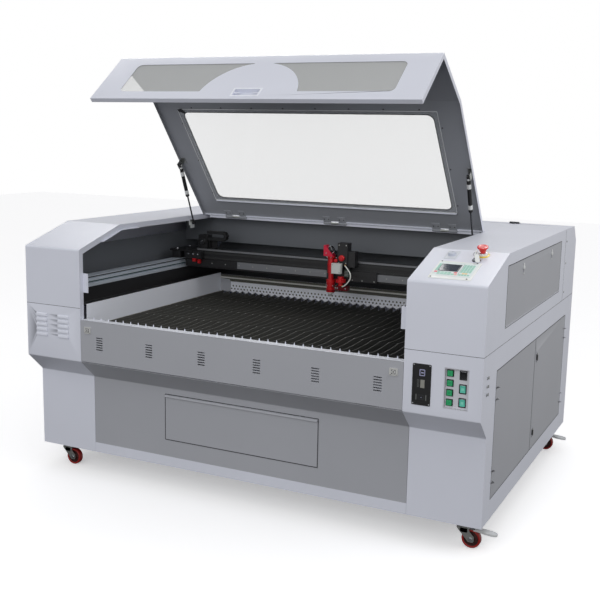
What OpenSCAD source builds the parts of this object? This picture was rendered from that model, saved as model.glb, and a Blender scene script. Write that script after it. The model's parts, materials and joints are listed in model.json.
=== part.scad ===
// Floor-standing laser engraving machine with two end housings, an opening lid,
// a slatted bed, a moving gantry with a laser head, side doors, a scrap drawer
// and four swivel casters. The lid is drawn open. Millimetres, +Z up, front at -Y.

/* [Body] */
// Width across the two end housings
machine_w = 2100; // [1900:10:2400]
// Depth from the front faces to the rear sheet
machine_d = 1645; // [1600:5:1750]
// Height of the body above its underside
body_h = 1025; // [1000:5:1060]
// Width of each end housing
end_w = 300; // [290:5:340]
// Thickness of the painted sheet
sheet = 2; // [1.5:0.5:3]
// Depth of the sloping part of each top, front to back
slope_d = 290; // [270:5:310]
// Fall of the slope from the flat top to the front face
slope_drop = 88; // [70:2:100]
// Height of the chin, where the front face turns in, above the underside
chin_h = 440; // [420:5:450]
// Height that the chin takes to turn in
chin_drop = 84; // [70:2:95]
// Distance that the leg face stands behind the front face
leg_back = 90; // [80:2:100]
// Height of the seam between the upper housings and the cabinet
seam_h = 680; // [670:2:690]
// Depth of the chamfer at the rear top edge
rear_chamfer_d = 65; // [40:5:80]
// Height of the chamfer at the rear top edge
rear_chamfer_h = 75; // [50:5:90]
// Distance from the rear sheet to the joint in front of the tube bay
tube_bay_d = 267; // [255:1:275]
// Depth of the folded edges round the openings of the housings
edge_fold = 26; // [20:1:30]
// Outer radius of the bends in the painted sheet
bend_r = 9; // [4:1:14]

/* [Lid] */
// Angle that the lid stands open
lid_open = 51.3; // [45:0.1:55]
// Distance from the front face to the lid's hinge line
hinge_y = 1024; // [1010:2:1040]
// Gap between the lid and each end housing
lid_gap = 3; // [2:0.5:6]
// Height of the fascia's lower edge above the underside
fascia_h = 642; // [636:1:650]
// Depth of the folded edge all round the lid
lid_fold = 20; // [14:1:22]
// Distance from the lid's side edges to the big window
window_side = 130; // [110:2:200]
// Distance from the front face to the window's front edge
window_y = 360; // [340:5:400]
// Length of the window, front to back
window_l = 535; // [450:5:560]
// Radius of the window's corners
window_r = 32; // [20:2:60]
// Thickness of the window panes
pane = 3; // [2:0.5:4]
// Distance that a pane reaches past the edge of its opening
pane_lap = 14; // [8:1:18]
// Distance from the lid's side edges to the outer ends of the fascia windows
port_side = 124; // [100:2:180]
// Height of the fascia windows
port_h = 190; // [150:5:200]
// Height of the solid strip below the fascia windows
port_up = 50; // [46:2:60]
// Radius of the dome between the two fascia windows
dome_r = 224; // [200:4:240]
// Width of the recessed pull
pull_w = 120; // [100:5:140]
// Height of the recessed pull
pull_h = 46; // [40:1:52]
// Height of the finger pull above the fascia's lower edge
pull_up = 20; // [12:1:24]

/* [Bed] */
// Distance between the middles of two slats
slat_pitch = 39.4; // [36:0.2:44]
// Thickness of a slat
slat_t = 3; // [2:0.5:5]
// Height of a slat at its tips
slat_h = 50; // [40:2:56]
// Fall of a slat's edge between two tips
slat_dip = 11; // [4:1:16]
// Distance between two tips of a slat
tip_pitch = 250; // [200:10:280]
// Height of the slats' tips above the underside
bed_h = 597; // [590:1:604]
// Height of the deck on which the rails stand
deck_h = 684; // [680:1:690]
// Distance from the front face to the front wall of the well
well_y = 44; // [40:1:50]
// Length of the well, front to back
well_l = 1146; // [1120:2:1160]
// Radius of the holes in the rear rail of the bed
hole_r = 4.2; // [3:0.2:5]

/* [Motion] */
// Distance from the inner side of an end housing to the middle of its long rail
rail_in = 90; // [80:2:100]
// Width of the long rails
rail_w = 50; // [40:2:56]
// Height of the long rails
rail_h = 50; // [40:2:54]
// Height of the tube under each long rail
riser_h = 63; // [55:2:65]
// Distance from the front face to the beam
beam_y = 930; // [920:2:940]
// Depth of the beam
beam_d = 70; // [60:2:76]
// Height of the beam
beam_h = 95; // [86:1:100]
// Distance from the middle to the focus tube's axis at rest
head_x = 50; // [40:2:80]
// Radius of the focus tube
tube_r = 22; // [18:1:25]
// Radius of the glass laser tube
laser_r = 40; // [30:1:44]
// Distance from the sheets beside the rails to the ends of the laser tube
laser_end = 148; // [130:2:260]
// Radial running clearance of pins and shafts
run = 0.05; // [0.02:0.01:0.1]
// Gap between parts that move past each other
gap = 0.3; // [0.2:0.1:0.6]

/* [Panels] */
// Gap round doors, hatch and flap
door_gap = 3; // [2.5:0.5:5]
// Distance from the front face to the front edge of the door opening
door_y = 194; // [180:2:200]
// Distance from the rear sheet to the rear edge of the door opening
door_rear = 155; // [150:1:200]
// Height of the door opening's lower edge above the underside
door_low = 83; // [70:1:100]
// Height of the door opening
door_h = 510; // [460:5:520]
// Distance from the front face to the split between the two doors
door_split = 848; // [800:4:900]
// Distance from the front face to the front edge of the hatch
hatch_y = 277; // [270:1:300]
// Distance from the hatch opening to the joint in front of the tube bay
hatch_rear = 96; // [90:1:180]
// Height of the hatch opening's lower edge above the underside
hatch_low = 742; // [736:1:760]
// Distance from the top down to the hatch opening
hatch_top = 46; // [44:1:80]
// Height of the front flap's upper edge above the underside
flap_top = 629; // [620:1:632]
// Width of the drawer front
drawer_w = 730; // [600:10:800]
// Height of the drawer front
drawer_h = 200; // [160:5:210]
// Height of the drawer front's lower edge above the underside
drawer_low = 125; // [110:1:130]
// Depth of the drawer's box
drawer_l = 700; // [500:10:760]
// Radius of the exhaust collars
duct_r = 75; // [50:1:90]
// Length of the exhaust collars
duct_l = 50; // [40:1:70]

/* [Casters] */
// Height of a caster from the floor to the underside
caster_h = 108; // [104:1:116]
// Radius of a wheel
wheel_r = 37.5; // [34:0.5:40]
// Width of a wheel
wheel_w = 26; // [22:1:30]
// Distance of the wheel's axle behind the swivel axis
trail = 34; // [26:1:38]
// Length of the brake pedals on the right-hand casters
pedal_l = 88; // [80:1:96]
// Width of the brake pedals
pedal_w = 36; // [30:1:40]
// Distance from the sides to the swivel axes
caster_in = 88; // [80:1:100]
// Distance from the front face to the front swivel axes
caster_y1 = 160; // [155:1:170]
// Distance from the rear sheet to the rear swivel axes
caster_rear = 157; // [140:1:220]

/* [Hidden] */
$fn = 48;

// Colours
paint = [0.76, 0.77, 0.84];
grey_paint = [0.53, 0.54, 0.56];
dark_paint = [0.27, 0.28, 0.30];
black = [0.07, 0.07, 0.08];
steel = [0.72, 0.73, 0.75];
red = [0.72, 0.08, 0.10];

// Places worked out from the sizes above; heights are from the floor
out_x = machine_w / 2;
in_x = out_x - end_w;
z_low = caster_h;
z_chin = z_low + chin_h;
z_chin_low = z_chin - chin_drop;
z_seam = z_low + seam_h;
z_top = z_low + body_h;
z_face = z_top - slope_drop;
z_rear = z_top - rear_chamfer_h;
top_rear_y = machine_d - rear_chamfer_d;
slope_a = atan2(slope_drop, slope_d);
z_deck = z_low + deck_h;
deck_t = 3;
z_tip = z_low + bed_h;
z_flap = z_low + flap_top;
z_fascia = z_low + fascia_h;
well_rear = well_y + well_l;
tube_bay_y = machine_d - tube_bay_d;
lid_x = in_x - lid_gap;
window_w = 2 * (lid_x - window_side);
port_x = lid_x - port_side;
bulk_x = out_x - 102;
rail_x = in_x + rail_in;
laser_l = 2 * (bulk_x - laser_end);
door_l = machine_d - door_rear - door_y;
hatch_l = tube_bay_y - hatch_rear - hatch_y;
hatch_h = body_h - hatch_top - hatch_low;
caster_x = out_x - caster_in;
caster_y2 = machine_d - caster_rear;
pedal_t = 3;
pedal_drop = 5;
pedal_root = trail + 13;
pedal_tip = caster_x + pedal_root + pedal_l * cos(pedal_drop) + pedal_t * sin(pedal_drop);
slat_count = floor((2 * (in_x - sheet) - slat_t) / slat_pitch) + 1;
latch_proud = 5;
hook_proud = 7;
screw_proud = 2;
mid_x = (pedal_tip - out_x - screw_proud) / 2;
mid_y = (machine_d + duct_l - latch_proud) / 2;

// Hinge line of the lid: the knuckles lie just under the top
knuckle_r = 6;
pin_r = 3;
z_hinge = z_top - knuckle_r - sheet;
hinge_clear = 8;

// Rails and gantry
z_rail = z_deck + deck_t + riser_h;
z_rail_top = z_rail + rail_h;
runner_h = 38;
z_plate = z_rail_top + gap + runner_h;
plate_t = 8;
plate_in = 70;
z_beam_top = z_plate + 12;
z_beam = z_beam_top - beam_h;
guide_h = 34;
guide_d = 12;
z_guide = z_beam + 10;
guide_y = beam_y - guide_d;

// Head
head_y = guide_y - 38;
nozzle_drop = 83.3;
z_nozzle = z_guide - nozzle_drop;

// A point p, seen along a direction, and paths in the plane of Y and Z
function along(a, b) = (b - a) / norm(b - a);
function inward(v) = [v[1], -v[0]];
function mitre(a, b, c, t) =
    let (n1 = inward(along(a, b)), n2 = inward(along(b, c))) b + (n1 + n2) * t / (1 + n1 * n2);
function inset(p, t) = [for (i = [0:len(p) - 1])
    i == 0 ? p[0] + inward(along(p[0], p[1])) * t
    : i == len(p) - 1 ? p[i] + inward(along(p[i - 1], p[i])) * t
    : mitre(p[i - 1], p[i], p[i + 1], t)];
function backwards(p) = [for (i = [len(p) - 1:-1:0]) p[i]];
bend_steps = 4;
function turned(v, a) = [v[0] * cos(a) - v[1] * sin(a), v[0] * sin(a) + v[1] * cos(a)];
// Points of a bend of radius r at b, on the way from a to c
function bend(a, b, c, r) =
    let (u = along(b, a), v = along(b, c), half = acos(u * v) / 2,
         centre = b + (u + v) / norm(u + v) * r / sin(half),
         start = b + u * r / tan(half) - centre,
         side = u[0] * v[1] - u[1] * v[0] > 0 ? -1 : 1)
    [for (i = [0:bend_steps]) centre + turned(start, side * (180 - 2 * half) * i / bend_steps)];
function rounded(p) = [for (i = [0:len(p) - 1])
    each (i == 0 || i == len(p) - 1 ? [p[i]] : bend(p[i - 1], p[i], p[i + 1], bend_r))];
// Section of a bent sheet t thick, and of a wall that stands t deep inside it
function band(p, t) = let (q = rounded(p)) concat(q, backwards(inset(q, t)));
function fold(p, t) = concat(rounded(p), backwards(inset(p, t)));

upper_path = [[0, z_seam], [0, z_face], [slope_d, z_top], [tube_bay_y, z_top]];
lower_path = [[leg_back, z_low], [leg_back, z_chin_low], [0, z_chin], [0, z_seam]];
rear_path = [[tube_bay_y, z_top], [top_rear_y, z_top], [machine_d, z_rear], [machine_d, z_seam]];
lid_path = [[0, z_fascia], [0, z_face], [slope_d, z_top], [hinge_y - hinge_clear, z_top]];

// Everything is drawn with the front face at y = 0 and is then centred
module at_home() {
    translate([-mid_x, -mid_y, 0]) children();
}

// A shape drawn in Y and Z, made w wide from x
module across(x, w) {
    translate([x, 0, 0]) rotate([90, 0, 90]) linear_extrude(w) children();
}

// A block given by its lowest and highest corners
module block(low, high) {
    translate(low) cube(high - low);
}

// A pressed channel whose open side faces along away, with open ends
module channel(low, high, away) {
    size = high - low;
    long = max(size);
    difference() {
        block(low, high);
        block([for (i = [0:2]) size[i] == long || away[i] < 0 ? low[i] - 1 : low[i] + channel_t],
              [for (i = [0:2]) size[i] == long || away[i] > 0 ? high[i] + 1 : high[i] - channel_t]);
    }
}

module mirrored(side) {
    if (side > 0) children();
    else mirror([1, 0, 0]) children();
}

module both_sides() {
    mirrored(1) children();
    mirrored(-1) children();
}

// A round bar along X, Y or Z, starting at p
module bar_x(p, r, l) {
    translate(p) rotate([0, 90, 0]) cylinder(r = r, h = l);
}

module bar_y(p, r, l) {
    translate(p) rotate([-90, 0, 0]) cylinder(r = r, h = l);
}

module bar_z(p, r, l) {
    translate(p) cylinder(r = r, h = l);
}

// A flat slab with round corners: size [x, y, z], corner radius r, on its low corner
module soft_slab(size, r) {
    translate([r, 0, 0]) cube([size[0] - 2 * r, size[1], size[2]]);
    translate([0, r, 0]) cube([size[0], size[1] - 2 * r, size[2]]);
    for (x = [r, size[0] - r])
        for (y = [r, size[1] - r])
            translate([x, y, 0]) cylinder(r = r, h = size[2]);
}

// The frame of the sloping panels: y runs up the slope and z stands out of it
seat = 0.02;
module on_slope(x, s) {
    translate([0, 0, z_face]) rotate([slope_a, 0, 0]) translate([x, s, seat]) children();
}

// The lid is drawn closed and turned open about its hinge line
module opened() {
    translate([0, hinge_y, z_hinge]) rotate([-lid_open, 0, 0]) translate([0, -hinge_y, -z_hinge])
        children();
}

// ---- Frame and cabinet ----

frame_t = 40;
channel_t = 3;
rail_low_h = 46;
frame_x = out_x - sheet - frame_t;
frame_y = leg_back + sheet;
frame_y2 = machine_d - sheet - frame_t;
post_x = in_x + sheet + 2;
bearer_ys = [110, 610, 1130];

module base_frame() at_home() color(paint) {
    z1 = z_low + rail_low_h;
    down = [0, 0, -1];
    drawer_end = leg_back + drawer_l;
    channel([-in_x + gap, leg_back, z_low], [in_x - gap, leg_back + frame_t, z1], down);
    for (y = [frame_y, frame_y2])
        channel([-out_x + sheet, y, z_low], [out_x - sheet, y + frame_t, z1], down);
    both_sides() {
        channel([frame_x, frame_y, z_low], [out_x - sheet, frame_y2 + frame_t, z1], down);
        channel([post_x, frame_y, z_low], [post_x + frame_t, frame_y2 + frame_t, z1], down);
        for (y = [caster_y1, caster_y2])
            channel([post_x, y - 20, z_low], [out_x - sheet, y + 20, z1], down);
        for (y = [frame_y, well_rear + 10, frame_y2])
            channel([post_x, y, z_low], [post_x + frame_t, y + frame_t, z_deck], [1, 0, 0]);
        channel([post_x, frame_y, z_deck - frame_t], [post_x + frame_t, frame_y2, z_deck], [1, 0, 0]);
        // angles that the drawer runs on
        block([drawer_w / 2 - 12, leg_back + frame_t, z_drawer_box - 4],
              [drawer_w / 2 + 18, drawer_end, z_drawer_box - gap]);
        block([drawer_w / 2 - 5, leg_back + frame_t, z_drawer_box - 4],
              [drawer_w / 2 - 1, drawer_end, z_drawer_box + 30]);
        channel([drawer_w / 2 - 5, drawer_end - frame_t, z1 - sheet],
                [drawer_w / 2 + 18, drawer_end, z_drawer_box + 30], [0, 1, 0]);
    }
    // floor of the cabinet, and cross channels under the slats
    block([-out_x + sheet, frame_y, z1 - sheet], [out_x - sheet, frame_y2, z1]);
    for (y = bearer_ys) {
        channel([-post_x - 30, y, z_tip - slat_h - 30], [post_x + 30, y + 30, z_tip - slat_h], down);
        both_sides() block([post_x, y, z_tip - slat_h], [post_x + 5, y + 30, z_deck - frame_t + 5]);
    }
}

// Folded upper housing: front, slope and top, side wall and the folds round its open side
module upper_housing(side) {
    fold_path = [[0, z_seam], [0, z_face], [slope_d, z_top], [rear_wall_y - 1, z_top]];
    rest_path = [[150, z_face + 150 * slope_drop / slope_d], [slope_d, z_top], [430, z_top]];
    mirrored(side) {
        across(in_x, end_w) polygon(band(upper_path, sheet));
        across(in_x, sheet) polygon(fold(fold_path, edge_fold));
        across(in_x - 12, 12 + sheet) polygon(band(inset(rest_path, edge_fold - sheet), sheet));
        // small plate that the lid's edge meets
        block([in_x - 26, edge_fold - sheet, z_top - 278], [in_x + sheet, edge_fold + 2, z_top - 193]);
    }
}

module side_profile() {
    polygon(concat(rounded(upper_path), [[tube_bay_y, z_seam]]));
}

module left_upper_housing() at_home() color(paint) {
    upper_housing(-1);
    across(-out_x, sheet) side_profile();
}

module right_upper_housing() at_home() color(paint) {
    upper_housing(1);
    difference() {
        across(out_x - sheet, sheet) side_profile();
        block([out_x - 2 * sheet, hatch_y, z_low + hatch_low],
              [out_x + sheet, hatch_y + hatch_l, z_low + hatch_low + hatch_h]);
    }
    // tongues that the hatch stands in and rests against
    for (y = [hatch_y + 60, hatch_y + hatch_l - 120])
        block([out_x - 2 * sheet - 2, y, z_low + hatch_low - 20],
              [out_x - sheet, y + 60, z_low + hatch_low + 14]);
    for (y = [hatch_y + 60, hatch_y + hatch_l - 120])
        block([out_x - 2 * sheet - 2, y, z_low + hatch_low + hatch_h - 14],
              [out_x - sheet, y + 60, z_low + hatch_low + hatch_h + 20]);
}

cheek_path = concat(rounded(lower_path), [[machine_d, z_seam], [machine_d, z_low]]);
lower_fold = [[leg_back, z_low + rail_low_h + gap], [leg_back, z_chin_low], [0, z_chin], [0, z_seam]];
flap_pin_y = 8;
flap_pin_z = z_chin + 16;
flap_pin_r = 4;

// Folded lower housing: face, chin and leg face with a fold along the inner edge
module lower_housing(side) {
    mirrored(side) {
        across(in_x, end_w) polygon(band(lower_path, sheet));
        difference() {
            across(in_x, sheet) polygon(fold(lower_fold, edge_fold));
            bar_x([in_x - 1, flap_pin_y, flap_pin_z], flap_pin_r + run, sheet + 2);
        }
    }
}

louvre_w = 58;
louvre_h = 13;
louvre_pitch = 22.3;
louvre_x = [-out_x + 85, -out_x + 205];
louvre_z = z_seam - 40;

module left_lower_housing() at_home() color(paint) {
    difference() {
        lower_housing(-1);
        for (x = louvre_x)
            for (i = [0:4])
                block([x - louvre_w / 2 + 2, -1, louvre_z - i * louvre_pitch - louvre_h + 1],
                      [x + louvre_w / 2 - 2, sheet + 1, louvre_z - i * louvre_pitch - 4]);
    }
    // pressed louvre hoods, open below
    for (x = louvre_x)
        for (i = [0:4])
            translate([x - louvre_w / 2, 0, louvre_z - i * louvre_pitch])
                rotate([90, 0, 90]) linear_extrude(louvre_w)
                    polygon([[sheet, 0], [0, 0], [-4.5, -louvre_h + 2], [-4.5, -louvre_h],
                             [-3, -louvre_h], [0, -3.5], [sheet, -3.5]]);
    across(-out_x, sheet) polygon(cheek_path);
}

port_plate_x = in_x + 71.5;
port_plate_z = z_seam - 127;
port_plate_w = 72;
port_plate_h = 157;
tray_x = in_x + 202.5;
tray_z = z_seam - 128;
tray_w = 92;
tray_h = 153;
tray_back = 12;

hinge_in = 9;
door_pin_x = out_x - sheet - 5;
door_pin_r = 3;
door_pins_y = [door_y + hinge_in, door_y + door_l - hinge_in];
door_hinge_z = [z_low + door_low + 70, z_low + door_low + door_h - 110];
knuckle_l = 40;

// Bracket and pin that a door's knuckle turns on, reaching round behind the opening's edge
module door_pin(y, z, dir) {
    reach = 30;
    behind = 16;
    translate([door_pin_x, y, z]) mirror([0, dir < 0 ? 0 : 1, 0]) {
        bar_z([0, 0, -6], door_pin_r, knuckle_l + 12);
        for (dz = [-6, knuckle_l + 3]) {
            block([-behind, -3, dz], [3, 3, dz + 3]);
            block([-behind, -reach, dz], [-behind + 4, 3, dz + 3]);
        }
        block([-behind, -reach, -6], [out_x - sheet - door_pin_x, -reach + 4, knuckle_l + 6]);
    }
}

module right_lower_housing() at_home() color(paint) {
    difference() {
        lower_housing(1);
        // window behind the port plate and the recess of the switch tray
        block([port_plate_x - port_plate_w / 2 + 8, -1, port_plate_z - port_plate_h / 2 + 12],
              [port_plate_x + port_plate_w / 2 - 8, sheet + 1, port_plate_z + port_plate_h / 2 - 12]);
        block([tray_x - tray_w / 2, -1, tray_z - tray_h / 2],
              [tray_x + tray_w / 2, sheet + 1, tray_z + tray_h / 2]);
    }
    difference() {
        across(out_x - sheet, sheet) polygon(cheek_path);
        block([out_x - 2 * sheet, door_y, z_low + door_low],
              [out_x + sheet, door_y + door_l, z_low + door_low + door_h]);
    }
    for (z = door_hinge_z) {
        door_pin(door_pins_y[0], z, -1);
        door_pin(door_pins_y[1], z, 1);
    }
}

z_drawer_box = z_low + drawer_low + 12;
panel_path = [[leg_back, z_low + rail_low_h + gap], [leg_back, z_chin_low], [0, z_chin]];

module front_lower_panel() at_home() color(grey_paint) difference() {
    across(-in_x + 1, 2 * in_x - 2) polygon(band(panel_path, sheet));
    block([-drawer_w / 2 + 8, leg_back - 1, z_low + drawer_low + 8],
          [drawer_w / 2 - 8, leg_back + sheet + 1, z_low + drawer_low + drawer_h - 8]);
}

duct_x = 380;
duct_z = z_low + 340;
cover_x = out_x - 108;

module rear_casing() at_home() color(paint) {
    difference() {
        block([-out_x + sheet, machine_d - sheet, z_low], [out_x - sheet, machine_d, z_seam]);
        for (x = [-duct_x, duct_x])
            bar_y([x, machine_d - sheet - 1, duct_z], duct_r - sheet, sheet + 2);
    }
    for (x = [-duct_x, duct_x])
        difference() {
            bar_y([x, machine_d - 1, duct_z], duct_r, duct_l + 1);
            bar_y([x, machine_d - 2, duct_z], duct_r - sheet, duct_l + 3);
        }
    // end caps of the tube bay
    both_sides() {
        across(cover_x, out_x - cover_x) polygon(band(rear_path, sheet));
        across(out_x - sheet, sheet) polygon(concat(rounded(rear_path), [[tube_bay_y, z_seam]]));
    }
}

cover_hinge_y = top_rear_y - 55;
cover_knuckle_r = 5;
cover_hinge_x = cover_x - 179;
cover_hinge_l = 48;
z_cover_pin = z_top + cover_knuckle_r - sheet / 2;
cover_pin_r = 2.5;

module rear_top_panel() at_home() color(paint) {
    block([-in_x + 1, hinge_y + hinge_clear, z_top - sheet],
          [in_x - 1, cover_hinge_y - cover_knuckle_r - 2, z_top]);
    block([-cover_x + 1, tube_bay_y + 1, z_top - sheet],
          [cover_x - 1, cover_hinge_y - cover_knuckle_r - 2, z_top]);
    difference() {
        block([-in_x + edge_fold, hinge_y + hinge_clear, z_top - 18],
              [in_x - edge_fold, hinge_y + hinge_clear + sheet, z_top]);
        for (x = lid_hinges_x)
            block([x - lid_knuckle_l / 2 - 1, hinge_y, z_top - sheet - 4],
                  [x + lid_knuckle_l / 2 + 1, hinge_y + 60, z_top - sheet]);
    }
    // middle knuckles and pins of the cover's hinges
    for (x = [-cover_hinge_x, cover_hinge_x]) {
        bar_x([x - cover_hinge_l / 2, cover_hinge_y, z_cover_pin], cover_pin_r, cover_hinge_l);
        bar_x([x - 7, cover_hinge_y, z_cover_pin], cover_knuckle_r, 14);
        block([x - 7, cover_hinge_y - 26, z_top], [x + 7, cover_hinge_y, z_top + 3]);
    }
}

// ---- Bed ----

deck_rear = machine_d - sheet;
module bed_deck() at_home() color(black) {
    difference() {
        block([-bulk_x, well_y, z_deck], [bulk_x, deck_rear, z_deck + deck_t]);
        block([-in_x, well_y - 1, z_deck - 1], [in_x, well_rear, z_deck + deck_t + 1]);
    }
    both_sides()
        channel([rail_x - rail_w / 2 - 4, well_y + 14, z_deck + deck_t],
                [rail_x + rail_w / 2 + 4, tube_bay_y - 20, z_rail], [1, 0, 0]);
}

well_h = 108;
module bed_well() at_home() color(paint) {
    both_sides()
        block([in_x - sheet, well_y, z_deck - well_h], [in_x, well_rear, z_deck + deck_t + 6]);
    block([-in_x, well_y - sheet, z_deck - well_h], [in_x, well_y, z_flap]);
    block([-in_x + sheet, sheet + edge_fold - 20, z_flap - sheet], [in_x - sheet, well_y, z_flap]);
}

slat_span = (slat_count - 1) * slat_pitch;
tooth_h = 12;
z_strip = z_low + 649;
strip_h = 60;
hole_pitch = slat_pitch / 2;
hole_count = 2 * slat_count - 3;

// Perforated rail behind the slats, with a pointed tooth between each two of them
module rear_slat_rail() at_home() color(paint) {
    z_teeth = z_strip - strip_h + tooth_h;
    half = slat_span / 2 + slat_pitch / 2;
    teeth = [for (i = [0:2 * slat_count])
        [half - i * slat_pitch / 2, i % 2 == 0 ? z_teeth : z_teeth - tooth_h]];
    outline = concat([[-in_x + sheet, z_teeth], [-in_x + sheet, z_strip],
                      [in_x - sheet, z_strip], [in_x - sheet, z_teeth]], teeth);
    difference() {
        translate([0, well_rear, 0]) rotate([90, 0, 0]) linear_extrude(sheet) polygon(outline);
        for (i = [0:hole_count - 1]) {
            x = (i - (hole_count - 1) / 2) * hole_pitch;
            bar_y([x, well_rear - 2 * sheet, z_strip - 23], hole_r, 3 * sheet);
            bar_y([x + hole_pitch / 2, well_rear - 2 * sheet, z_strip - 39], hole_r, 3 * sheet);
        }
    }
    // fold that joins the rail to the deck
    block([-in_x + sheet, well_rear - sheet, z_strip - 1], [in_x - sheet, well_rear, z_deck]);
}

tip_first = 118;
scallop_steps = 5;
slat_l = well_l - 4 * sheet;
// Height of a slat's edge at a distance y from its front end
function slat_edge(y) =
    let (u = ((y - tip_first) / tip_pitch) - floor((y - tip_first) / tip_pitch))
    slat_h - slat_dip * 4 * u * (1 - u);
slat_ys = concat([0], [for (y = [tip_first - 2 * tip_pitch / scallop_steps:
    tip_pitch / scallop_steps:slat_l - 1]) y], [slat_l]);
slat_outline = concat([for (y = slat_ys) [y, slat_edge(y)]], [[slat_l, 0], [0, 0]]);

module knife_slats() at_home() color(black)
    for (i = [0:slat_count - 1])
        translate([0, well_y + sheet, z_tip - slat_h])
            across(-slat_span / 2 + i * slat_pitch - slat_t / 2, slat_t) polygon(slat_outline);

// Dark sheets inside: two beside the rails, one over the rear of the beam, one before the tube bay
rear_wall_y = hinge_y + 126;
z_rear_wall = z_face - 69;
module inner_walls() at_home() color(dark_paint) {
    both_sides()
        block([bulk_x - sheet, edge_fold + 8, z_deck + deck_t], [bulk_x, tube_bay_y - sheet, z_face - 20]);
    block([-bulk_x + sheet, rear_wall_y, z_rear_wall],
          [bulk_x - sheet, rear_wall_y + sheet, z_top - sheet]);
    difference() {
        block([-bulk_x, tube_bay_y - sheet, z_deck + deck_t], [bulk_x, tube_bay_y, z_top - sheet]);
        bar_y([mirror_x, tube_bay_y - 2 * sheet, z_laser], 20, 3 * sheet);
    }
}

groove = 8;
groove_in = 7;
// Aluminium profile with two grooves in its inner face and one in its top
function rail_outline() = [
    [0, 0], [rail_w, 0], [rail_w, rail_h], [rail_w / 2 + groove / 2, rail_h],
    [rail_w / 2 + groove / 2, rail_h - groove_in], [rail_w / 2 - groove / 2, rail_h - groove_in],
    [rail_w / 2 - groove / 2, rail_h], [0, rail_h],
    [0, rail_h * 0.72 + groove / 2], [groove_in, rail_h * 0.72 + groove / 2],
    [groove_in, rail_h * 0.72 - groove / 2], [0, rail_h * 0.72 - groove / 2],
    [0, rail_h * 0.3 + groove / 2], [groove_in, rail_h * 0.3 + groove / 2],
    [groove_in, rail_h * 0.3 - groove / 2], [0, rail_h * 0.3 - groove / 2]];

module y_rails() at_home() color(steel) both_sides()
    translate([rail_x - rail_w / 2, tube_bay_y - 20, z_rail]) rotate([90, 0, 0])
        linear_extrude(tube_bay_y - 34 - well_y) polygon(rail_outline());

// ---- Tube bay and electrics ----

laser_y = top_rear_y - 88;
axis_up = 145;
z_laser = z_deck + deck_t + axis_up;
mirror_x = -bulk_x + 68;
tube_cap = 60;
tube_neck = 20;
module laser_tube() at_home() color([0.85, 0.88, 0.9]) {
    glass = 3;
    difference() {
        union() {
            bar_x([-laser_l / 2 + tube_cap, laser_y, z_laser], laser_r, laser_l - 2 * tube_cap);
            bar_x([-laser_l / 2 + tube_neck, laser_y, z_laser], laser_r * 0.55, laser_l - 2 * tube_neck);
            bar_x([-laser_l / 2, laser_y, z_laser], laser_r * 0.4, laser_l);
        }
        bar_x([-laser_l / 2 + tube_cap + glass, laser_y, z_laser],
              laser_r - glass, laser_l - 2 * (tube_cap + glass));
        bar_x([-laser_l / 2 - 1, laser_y, z_laser], laser_r * 0.4 - glass, laser_l + 2);
    }
}

module tube_supports() at_home() color(black) {
    z_floor = z_deck + deck_t;
    wall = 12;
    half = 15;
    foot = 8;
    base = 30;
    for (x = [-laser_l / 3, laser_l / 3])
        difference() {
            union() {
                block([x - half, laser_y - laser_r - wall, z_floor],
                      [x + half, laser_y + laser_r + wall, z_laser]);
                block([x - 2 * half, laser_y - laser_r - wall - foot, z_floor],
                      [x + 2 * half, laser_y + laser_r + wall + foot, z_floor + foot]);
                bar_x([x - half, laser_y, z_laser], laser_r + wall, 2 * half);
            }
            bar_x([x - half - 1, laser_y, z_laser], laser_r + seat, 2 * half + 2);
        }
    // first mirror, turned towards the gantry
    block([mirror_x - base, laser_y - base, z_floor], [mirror_x + base, laser_y + base, z_floor + 10]);
    block([mirror_x - 10, laser_y - 10, z_floor + 10], [mirror_x + 10, laser_y + 10, z_laser - base]);
    translate([mirror_x, laser_y, z_laser - base]) rotate([0, 0, 45]) translate([-base, -8, 0])
        cube([2 * base, 16, 2 * base]);
}

psu_size = [180, 370, 150];
psu_in = 50;
psu_front = 48;
module power_supply() at_home() color(steel) {
    z_floor = z_low + rail_low_h;
    size = psu_size;
    low = [out_x - psu_in - size[0], tube_bay_y - psu_front - size[1], z_floor];
    high = low + size;
    wall = [sheet, sheet, sheet];
    slot = 10;
    difference() {
        block(low, high);
        block(low + wall, high - wall);
        for (z = [3 * slot:2.5 * slot:size[2] - 4 * slot])
            block([low[0] - 1, low[1] + 3 * slot, z_floor + z],
                  [low[0] + sheet + 1, high[1] - 3 * slot, z_floor + z + slot]);
    }
}

// ---- Controls ----

ctrl_x = in_x + 142.5;
ctrl_s = 110;
ctrl_w = 154;
ctrl_l = 158;
meter_x = in_x + 93;
meter_s = 249;
stop_x = in_x + 207;
stop_s = 264;
key_x = in_x + 196;
key_s = 214;

module control_panel() at_home() color([0.9, 0.91, 0.93]) {
    on_slope(ctrl_x - ctrl_w / 2, ctrl_s - ctrl_l / 2) soft_slab([ctrl_w, ctrl_l, 2.5], 5);
    on_slope(ctrl_x - ctrl_w / 2 + 14, ctrl_s - ctrl_l / 2 + 12)
        translate([0, 0, 2.5]) cube([ctrl_w - 28, ctrl_l - 24, 2]);
    on_slope(meter_x - 24, meter_s - 36) {
        soft_slab([48, 72, 2], 4);
        translate([24, 36, 2]) cylinder(r = 16, h = 9);
    }
    // collar of the stop button and barrel of the key switch
    on_slope(stop_x, stop_s) difference() {
        union() {
            cylinder(r = 30, h = 3);
            translate([0, 0, 3]) cylinder(r = 14.5, h = 9);
        }
        translate([0, 0, 1]) cylinder(r = stop_stem_r + run, h = 12);
    }
    on_slope(key_x, key_s) {
        cylinder(r = 15, h = 5);
        translate([0, 0, 5]) cylinder(r = 11, h = 6);
    }
}

stop_travel = 4;
stop_stem_r = 10;

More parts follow.
